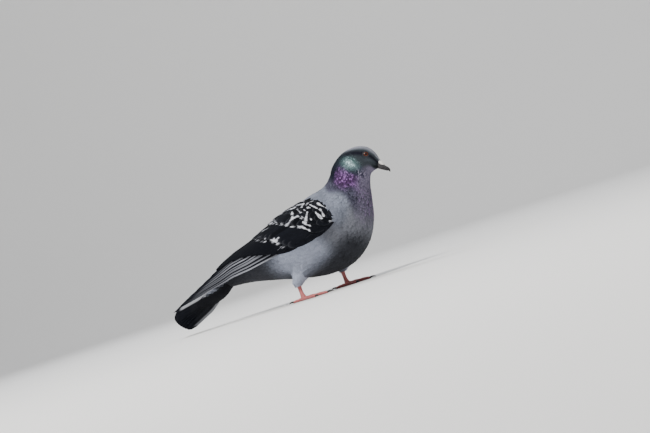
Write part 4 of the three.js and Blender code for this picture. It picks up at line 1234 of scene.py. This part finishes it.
def thigh_coat(side, trunk):
    """The feathers of a thigh, at their top in the colours of the trunk."""
    surface, (boot, axis) = thigh_surface(side), boot_at(side)
    t = np.linspace(0, 1, 6)
    k, a, gap = thigh_places(surface, boot)
    count = len(k)
    k = k + rng.normal(0, 0.03, count)
    a = a + rng.normal(0, 0.05, count)
    length = np.interp(k, [1.7, 3, 5], [6.5, 6.2, 3.4]) * rng.uniform(0.85, 1.15, count)
    rate = np.maximum(pace(surface, k, a), 3)
    path_k = np.minimum(k[:, None] + t * (length / rate)[:, None], THIGH_END - 0.05)
    path_a = a[:, None] + rng.normal(0, 0.05, (count, 1)) * t
    full = np.interp(k, [0, 3, 5], [5.0, 4.0, 2.6])[:, None] * outline(t, 0.5, 0.5, 0.6)
    rise = -1.1 * (1 - t) ** 1.5 + rng.normal(0.05, 0.12, (count, 1)) * t
    rise = rise - smooth(3.0, -1.0, gap)[:, None]
    points = soft_vanes(surface, axis, path_k, path_a, full, rise, ROUND_STEP, fray=0.08)
    # feathers that the fold between thigh and trunk would stretch are left out
    wide = np.linalg.norm(points[:, :, 0] - points[:, :, -1], axis=-1).max(1)
    reach = np.linalg.norm(points - points[:, :1, SOFT_COLUMNS // 2, None], axis=-1).max((1, 2))
    whole = (wide < 1.4 * full.max(1)) & (reach < 1.4 * length)
    points, full, k, a, count = points[whole], full[whole], k[whole], a[whole], whole.sum()
    near = np.array([trunk(spot) for spot in points[:, 3, SOFT_COLUMNS // 2]])
    root = points[:, 0, 0]
    tone = mix(near, PALE_SLATE * 0.95, smooth(1.7, 2.7, k + 0.25 * mottle(root, 6)))
    tone = tone * rng.uniform(0.93, 1.07, (count, 1))
    # painted shade: the inner side of each thigh is darker, between the legs
    inside = smooth(0.2, 1.0, np.sin(a) * -side) * 0.55
    tone = tone * ((1 - inside) * (1 + 0.1 * mottle(root, 9)))[:, None]
    name, place = f"thigh_{SIDES[side]}_feathers", stack(k / 6 + 0.05, (a + math.pi) / TURN)
    # each feather is painted a little darker at its root, painted shade
    colours = along_rows(tone, 0.94 + 0.1 * t)
    return soft_coat(name, THIGH_VANE, "thigh_feathers", points, full, colours, place)


# ---------------------------------------------------------------- skin

LIMB_SHARE = 0.86  # the skin of the tail's root and the thighs, as a share of their outline
# painted shade: the skin is darker than the feathers on it
SKIN_SHADE = 0.75  # of the colour of the nearest feather
SKIN_VOXEL = 0.0017  # metres


def wing_slab(side):
    """The inside of the front of a folded wing."""
    along, down = np.linspace(0.01, 0.47, 20), np.linspace(0.03, 0.95, 12)
    p, _, _, n = face_normal(*wing_at(side), *grid(along, down), WING_STEP)
    outer = p - n * np.interp(along, [0, 0.25, 0.47], [1.2, 1.4, 3.6])[:, None, None]
    thick = np.interp(along, [0, 0.1, 0.3, 0.47], [1.6, 7, 6, 2.6])[:, None, None]
    return tube(np.concatenate([outer, (outer - n * thick)[:, ::-1]], 1))


def inner_tube(surface, axis, u, a):
    """A tube inside a surface round an axis."""
    u, a = grid(u, a)
    middle = axis(u, a)
    return tube(middle + (surface(u, a) - middle) * LIMB_SHARE)


def skin(coats):
    """One skin under all the feathers, coloured like those that lie on it but darker, as painted
    shade.
    """
    s, a = np.linspace(0, FACE_END - 0.05, 93), np.linspace(-math.pi, math.pi, 73)[:-1]
    s, around = grid(s, a)
    parts = [
        tube(coat_body(s, around, -coat_depth(s))),
        inner_tube(tail_root, tail_axis, np.linspace(-0.2, 3.6, 16), a),
    ]
    for side in SIDES:
        parts.append(wing_slab(side))
        parts.append(inner_tube(*boot_at(side), np.linspace(0.2, 4.9, 20), a))
    rough = make_object("skin", *joined(parts), SKIN, "body_feathers")
    remesh = rough.modifiers.new("one", "REMESH")
    remesh.mode, remesh.voxel_size = "VOXEL", SKIN_VOXEL
    relax = rough.modifiers.new("relax", "SMOOTH")
    relax.factor, relax.iterations = 0.5, 4
    graph = bpy.context.evaluated_depsgraph_get()
    done = bpy.data.meshes.new_from_object(rough.evaluated_get(graph))
    rough.modifiers.clear()
    rough.data = done
    done.name = "skin"
    nearest = nearest_tones(coats)
    set_colours(done, [nearest(vertex.co * 1000) * SKIN_SHADE for vertex in done.vertices])
    done.polygons.foreach_set("use_smooth", np.ones(len(done.polygons), bool))
    if not done.materials:
        done.materials.append(SKIN)
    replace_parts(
        rough, "torso", "neck", "head", "tail", "wing_right", "wing_left", "thigh_right",
        "thigh_left",
    )


# ---------------------------------------------------------------- eyes, lids, bill

def eyes():
    """Eyeballs with a pupil and an orange iris, and their lids."""
    material, tree, shader = new_material("eye_gloss", 0.12, 0.3, coat=0.25)
    tree.links.new(painted(tree, 0.5, 2200.0)[0], shader.inputs["Base Color"])
    rows, columns = 72, 64
    tilt, turn = np.linspace(0.002, math.pi, rows)[:, None], turns(columns)
    station, angle = EYE_PLACE
    onward, round_it = body(station + 0.1, angle) - EYE_SKIN, body(station, angle + 0.1) - EYE_SKIN
    out = unit(np.cross(round_it, onward))
    out = out * np.sign(out[1])
    for side, name in SIDES.items():
        flip = np.array([1, side, 1])
        pole = out * flip
        x = unit(np.cross(pole, UP))
        ring = x * np.cos(turn)[:, None] + np.cross(pole, x) * np.sin(turn)[:, None]
        rise = np.sin(tilt)[..., None] * ring + np.cos(tilt)[..., None] * pole
        points = (EYE_SKIN - out * EYE_SUNK) * flip + EYE_RADIUS * rise
        reach = tilt + 0.004 * np.sin(turn * 9)
        streak = 0.85 + 0.3 * np.abs(np.sin(turn * 17 + 1.3 * np.sin(turn * 5)))
        iris = mix([0.075, 0.012, 0.004], [0.02, 0.004, 0.003], smooth(0.40, 0.56, reach))
        tone = layers(
            [0.12, 0.026, 0.006],  # the iris next to the pupil
            (iris * streak[:, None], smooth(0.33, 0.42, reach)),
            ([0.0015, 0.0015, 0.0015], smooth(0.32, 0.29, reach)),  # the pupil
            ([0.012, 0.007, 0.006], smooth(0.56, 0.66, reach)),
        )
        faces = grid_faces(rows, columns, closed=True)[:, ::-1]
        piece = make_object(f"eyeball_{name}", points, faces, material, "eye", tone)
        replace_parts(piece, f"eye_{name}")
        lids(side, name)


BEADS = 30  # round an eye


def lids(side, name):
    """The bare rim that closes on the eye, and a beaded fold of skin round it, on the head."""
    slant = (eye_down @ eye_ahead) / (eye_ahead @ eye_ahead)
    back, down = unit(-eye_ahead), unit(eye_down - eye_ahead * slant)
    turn, rounds = turns(168), turns(14)
    c, n, beading = np.cos(turn), np.sin(turn), np.sin(turn * BEADS)
    parts, tones = [], []
    # radius, thickness, height above the head, beads, colour
    for radius, thick, above, beads, tone in (
        (LID_RADIUS - 0.42, 0.28, -0.1, 0.03, [0.012, 0.010, 0.011]),
        (LID_RADIUS + 0.12, 0.38, -0.2, 0.10, [0.026, 0.026, 0.031]),
    ):
        corner = radius * (1 + 0.08 * np.abs(c) ** 6)
        out = back * (c * corner)[:, None] + down * (n * radius * 0.9)[:, None]
        ds, da = slid(eye_ahead, eye_down, out)
        u, v = EYE_PLACE[0] + ds, EYE_PLACE[1] + da
        q, _, _, normal = face_normal(body, body_axis, u, v, ROUND_STEP)
        middle = q + normal * (above + 0.4 * np.clip(-n, 0, 1))[:, None]
        radial = unit(np.cross(np.gradient(middle, axis=0), normal))
        bead = 1 + beads * beading[:, None] * np.clip(np.cos(rounds - 0.6), 0, 1)
        ring = radial[:, None] * np.cos(rounds)[:, None] * 1.3
        ring = ring + normal[:, None] * np.sin(rounds)[:, None]
        ring = middle[:, None] + (thick * bead)[..., None] * ring
        faces = grid_faces(len(turn) + 1, len(rounds), closed=True) % bead.size
        parts.append(((ring * [1, side, 1]).reshape(-1, 3), faces))
        shade = 0.85 + 0.3 * np.clip(beading, 0, 1) * (beads > 0.05)
        tones.append(np.array(tone) * np.repeat(shade, len(rounds))[:, None])
    make_object(f"lids_{name}", *joined(parts), LID_SKIN, "head_feathers", np.concatenate(tones))


BILL_CORNER = np.array([128.6, 0, 114.8]) + SHIFT
BILL_SLOPE = math.radians(-40)
BILL_LENGTH = 17.0
BILL_ONWARD = np.array([math.cos(BILL_SLOPE), 0, math.sin(BILL_SLOPE)])
BILL_UP = np.array([-math.sin(BILL_SLOPE), 0, math.cos(BILL_SLOPE)])
# share of the length, half width, height, drop of the mouth line
UPPER_BILL = np.array([
    [-0.15, 3.0, 3.0, 0],
    [0, 3.8, 4.7, 0],
    [0.3, 3.1, 4.3, 0],
    [0.55, 2.4, 3, 0],
    [0.78, 1.9, 2.75, 0],
    [0.92, 1.3, 2.35, 0.7],
    [0.985, 0.62, 1.4, 1.3],
    [1, 0.3, 0.8, 1.5],
])
LOWER_BILL = np.array([
    [-0.15, 2.6, 1.8, 0],
    [0, 3.5, 2.9, 0],
    [0.3, 2.8, 2.5, 0],
    [0.6, 1.9, 1.7, 0],
    [0.78, 1.3, 1.25, 0],
    [0.85, 0.6, 0.6, 0],
])


def bill_spot(along, above, aside):
    along, above, aside = (x[..., None] for x in np.broadcast_arrays(along, above, aside))
    return BILL_CORNER + along * BILL_ONWARD + above * BILL_UP + aside * [0, 1.0, 0]


def bill_half(name, rows, turn, cad):
    """The upper half of the bill where turn is 1, the lower where it is -1."""
    share, half, high, drop = spline(rows, np.linspace(0, len(rows) - 1, 44)).T[..., None]
    a = np.linspace(0, math.pi, 25)
    tall = np.sin(a) ** 0.9
    along, line = share * BILL_LENGTH, turn * 0.14 - drop
    # a slit of a nostril under the flap of the cere
    slit = 0.75 * bell(along, 8, 1.5) * bell(tall, 0.66, 0.09) * (turn > 0)
    half = half * np.cos(a) * (1 - 0.22 * slit)
    rim = bill_spot(along, line + turn * high * tall * (1 - 0.12 * slit), half)
    inner = bill_spot(along, line + turn * 0.35, half[:, ::4] * 0.55)[:, ::-1]
    points, faces = tube(np.concatenate([rim, inner], 1))
    depth = np.pad(slit, ((1, 1), (0, inner.shape[1])))
    tone = mix([0.034, 0.032, 0.035], [0.013, 0.012, 0.014], smooth(0.2, 0.8, share))
    # painted shade: the nostril's slit is dark in its recess
    tone = np.concatenate([tone[:1], tone, tone[-1:]]) * (1 - 0.9 * depth)[..., None]
    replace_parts(make_object(name, points, faces, BILL_HORN, "horn", tone), cad)


def cere():
    """Two swollen lobes over the root of the bill."""
    tilt, turn = np.linspace(0.01, math.pi - 0.01, 30)[:, None], turns(36)
    x, y, z = -np.cos(tilt), np.sin(tilt) * np.cos(turn), np.sin(tilt) * np.sin(turn)
    wrinkle = 1 + 0.03 * np.sin(x * 9 + y * 4) + 0.025 * np.sin(z * 13 + x * 5) * np.sin(y * 6)
    full = (1 - 0.3 * x - 0.1 * x * x) * wrinkle
    parts = []
    for side in SIDES:
        aside = side * (1.55 + 2.05 * y * full)
        lobe = bill_spot(4.5 + 3.5 * x * wrinkle, 4.2 + 1.75 * z * full - 0.5 * x, aside)
        parts.append((lobe.reshape(-1, 3), grid_faces(30, 36, closed=True)))
    points, faces = joined(parts)
    tone = np.broadcast_to([0.72, 0.70, 0.67], points.shape)
    piece = make_object("cere_lobes", points, faces, CERE_SKIN, "cere", tone)
    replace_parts(piece, "cere")


# ---------------------------------------------------------------- feet

# name, degrees from straight ahead, length, thickness, length of the claw
TOES = [
    ("middle", 3, 28, 4.2, 7),
    ("inner", 40, 20, 3.9, 6),
    ("outer", -33, 22, 3.9, 5.5),
    ("hind", 172, 14, 3.7, 6),
]
BALL = np.array([11.0, LEG_Y, 0])  # where the toes meet
TOE_SWELL = np.array([
    [0, 1.05], [0.2, 0.88], [0.36, 1], [0.54, 0.82], [0.7, 0.92], [0.88, 0.78], [1, 0.62],
])
# x, level and radius of the shank
SHANK = np.array([
    [9.4, 19.5, 2.755],
    [9.6, 17.2, 2.47],
    [9.8, 12, 2.09],
    [10.2, 7.5, 2.28],
    [10.8, 3.9, 3.04],
    [11, 1.6, 3.325],
    [11, 0.4, 2.945],
])
# length of the scales on shank and toes, and how far their edges stand out
SHANK_SCALE, TOE_SCALE, PLATE = 1.9, 1.75, 0.26
FOOT_RING = 28  # points round shank and toes
CORAL = np.array([0.542, 0.15875, 0.155])


def saw(x):
    """A ridge that climbs slowly and falls off fast once in each unit."""
    f, top = x % 1.0, 0.82
    return np.where(f < top, f / top, (1 - f) / (1 - top))


def blurred(values, reach):
    """Values averaged with those up to reach places away."""
    span = 2 * reach + 1
    return np.convolve(np.pad(values, reach, mode="edge"), np.ones(span) / span, mode="valid")


def shank():
    """Rings of the shank, with broad plates down its front, and their shade, painted darker in the
    grooves between the plates.
    """
    turn = turns(FOOT_RING)
    x, level, half = spline(SHANK, np.linspace(0, len(SHANK) - 1, 110)).T[..., None]
    front = np.clip(np.cos(turn), 0, 1) ** 0.7
    scale = saw(level / SHANK_SCALE) * front
    half = half + PLATE * scale
    y = LEG_Y + half * np.sin(turn) * 0.92
    ring = stack(x + half * np.cos(turn), y, np.maximum(level, 0.02))
    return ring, 0.78 + 0.42 * scale - 0.12 * front


def toe(onward, across, length, thick):
    """Rings of a toe, swollen between its joints, plated above and padded below, and shade, painted
    darker in the plates' grooves and under the pads.
    """
    turn, share = turns(FOOT_RING), np.linspace(0, 1, int(length * 5))[:, None]
    c, n = np.cos(turn), np.sin(turn)
    swell = blurred(np.interp(share[:, 0], *TOE_SWELL.T), 6)[:, None]
    end = 1 - 0.55 * np.clip((share - 0.93) / 0.07, 0, 1) ** 2
    half = thick * swell * (1 - 0.15 * share) * end / 2
    top, pad = np.clip(n, 0, 1) ** 0.6, np.clip(-n, 0, 1)
    scale = saw(share * length / TOE_SCALE) * top
    y = c * (1 - 0.12 * pad) * (half + PLATE * 0.3 * scale)
    z = half + n * np.where(n > 0, half + PLATE * scale, half * 0.98)
    ring = BALL + onward * (share * length)[..., None] + across * y[..., None]
    return ring + UP * np.maximum(z, 0.03)[..., None], 0.68 + 0.44 * scale - 0.12 * pad


def nail(onward, across, length, reach):
    """Rings of a curved claw at the end of a toe."""
    turn, share = turns(18)[:, None], np.linspace(-0.12, 1, 26)
    levels = [1.3, 1.4, 1.75, 1.45, 0.85, 0.5]
    level = blurred(np.interp(share, [-0.12, 0, 0.35, 0.7, 0.9, 1], levels), 2)
    radius = np.interp(share, [-0.12, 0, 0.35, 0.7, 1], [1.05, 1.05, 0.95, 0.65, 0.12])
    centre = BALL + onward * (length + 0.3 + share * reach)[:, None] + UP * level[:, None]
    ring = across * np.cos(turn) * 0.85 + UP * np.sin(turn)
    ring = centre[:, None] + radius[:, None, None] * ring
    ring[..., 2] = np.maximum(ring[..., 2], 0.05)
    return ring


def foot(side):
    """The scaly shank and toes of one side as one piece, and a claw on each toe."""
    name, flip = SIDES[side], np.array([1, -side, 1])
    move = SHIFT + [STRIDE if side > 0 else 0, 0, 0]
    lengths, claws = [shank()], []
    for title, angle, length, thick, reach in TOES:
        c, n = math.cos(math.radians(angle)), math.sin(math.radians(angle))
        onward, across = np.array([c, n, 0]), np.array([-n, c, 0])
        lengths.append(toe(onward, across, length, thick))
        claws.append((title, nail(onward, across, length, reach)))
    points, faces = joined([tube(ring * flip + move) for ring, _ in lengths])
    shades = [np.pad(shade, ((1, 1), (0, 0)), mode="edge").ravel() for _, shade in lengths]
    # painted shade: the coral is darker in the grooves between the plates and under the toes' pads
    tone = CORAL * np.concatenate(shades)[:, None]
    piece = make_object(f"scaly_foot_{name}", points, faces, FOOT_SKIN, "foot_skin", tone)
    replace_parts(piece, f"foot_{name}")
    for title, ring in claws:
        points, faces = tube(ring * flip + move)
        tone = np.broadcast_to([0.022, 0.018, 0.017], points.shape)
        piece = make_object(f"nail_{title}_{name}", points, faces, CLAW_HORN, "claw", tone)
        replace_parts(piece, f"claw_{title}_{name}")


# ---------------------------------------------------------------- the bird

coats = short_feathers()
coats += wing_coat(-1) + wing_coat(1)
coats += tail_coat()
trunk_tones = nearest_tones(coats[:3])
coats += [thigh_coat(side, trunk_tones) for side in SIDES]
skin(coats)
eyes()
bill_half("upper_bill", UPPER_BILL, 1, "bill_upper")
bill_half("lower_bill", LOWER_BILL, -1, "bill_lower")
cere()
for side in SIDES:
    foot(side)

# ---------------------------------------------------------------- stage, light and camera

def backdrop():
    """A pale floor that curves up into a wall all round, in metres."""
    bend, columns = np.linspace(0, math.pi / 2, 14), 96
    radius = np.concatenate([np.geomspace(0.001, 2.5, 16), 2.6 + 1.2 * np.sin(bend), [3.8]])
    height = np.concatenate([np.zeros(16), 1.2 * (1 - np.cos(bend)), [3.6]])
    turn, radius = turns(columns), radius[:, None]
    points = stack(radius * np.cos(turn), radius * np.sin(turn), height[:, None])
    faces = grid_faces(len(radius), columns, closed=True).tolist()
    mesh = bpy.data.meshes.new("studio")
    mesh.from_pydata(points.reshape(-1, 3).tolist(), [], faces + [list(range(columns))[::-1]])
    mesh.polygons.foreach_set("use_smooth", np.ones(len(mesh.polygons), bool))
    material, tree, shader = new_material("studio_paper", 0.9, 0.1)
    noise = node(tree, "TexNoise", Scale=3.0, Detail=2.0).outputs["Fac"]
    ramp = node(tree, "ValToRGB", Fac=noise)
    ramp.color_ramp.elements[0].color = (0.78, 0.775, 0.76, 1)
    ramp.color_ramp.elements[1].color = (0.82, 0.815, 0.80, 1)
    tree.links.new(ramp.outputs["Color"], shader.inputs["Base Color"])
    mesh.materials.append(material)
    studio = bpy.data.objects.new("studio", mesh)
    bpy.context.scene.collection.objects.link(studio)


def area_light(name, place, target, size, power, colour=(1, 1, 1)):
    data = bpy.data.lights.new(name, "AREA")
    data.shape, data.size, data.energy, data.color = "DISK", size, power, colour
    light = bpy.data.objects.new(name, data)
    light.location = place
    light.rotation_mode = "QUATERNION"
    light.rotation_quaternion = (Vector(target) - Vector(place)).to_track_quat("-Z", "Y")
    bpy.context.scene.collection.objects.link(light)


backdrop()
area_light("key", (0.15, -1.15, 1.45), (0.02, 0, 0.08), 0.45, 40, (1.0, 0.98, 0.95))
area_light("top", (-0.6, 0.5, 1.5), (0, 0, 0.08), 0.9, 16, (0.95, 0.97, 1.0))
area_light("wall", (0.0, 1.6, 2.4), (-0.5, 3.6, 0.8), 1.6, 30)
area_light("fill", (-1.3, -1.1, 0.7), (0, 0, 0.07), 0.9, 5, (0.95, 0.97, 1.0))
world = bpy.data.worlds.new("studio_world")
world.use_nodes = True
world.node_tree.nodes["Background"].inputs["Color"].default_value = (0.86, 0.9, 1.0, 1)
world.node_tree.nodes["Background"].inputs["Strength"].default_value = 0.45
bpy.context.scene.world = world

AZIMUTH, ELEVATION, ROLL = math.radians(20), math.radians(-1.5), math.radians(18)
FRAME_SIZE = (650, 433)  # pixels
DISTANCE, FOCAL = 1.5, 1380.0  # metres, and pixels
ANCHOR, ANCHOR_PIXEL = np.array([0.01203, -0.022, 0.010]), (300.0, 292.0)  # metres, pixels
SENSOR = 36  # mm
back = np.array([
    math.sin(AZIMUTH) * math.cos(ELEVATION),
    -math.cos(AZIMUTH) * math.cos(ELEVATION),
    math.sin(ELEVATION),
])
level = unit(np.cross(-back, UP))
upright = np.cross(level, -back)
right = math.cos(ROLL) * level - math.sin(ROLL) * upright
up = math.cos(ROLL) * upright + math.sin(ROLL) * level
aim = (ANCHOR_PIXEL[0] - FRAME_SIZE[0] / 2) * right + (FRAME_SIZE[1] / 2 - ANCHOR_PIXEL[1]) * up
place = ANCHOR - DISTANCE * (aim / FOCAL - back)
camera_data = bpy.data.cameras.new("camera")
camera_data.sensor_width = SENSOR
camera_data.lens = FOCAL * SENSOR / FRAME_SIZE[0]
camera_data.clip_start, camera_data.clip_end = 0.05, 20
camera = bpy.data.objects.new("camera", camera_data)
camera.matrix_world = Matrix([*np.stack([right, up, back, place], 1), (0, 0, 0, 1)])
bpy.context.scene.collection.objects.link(camera)
bpy.context.scene.camera = camera
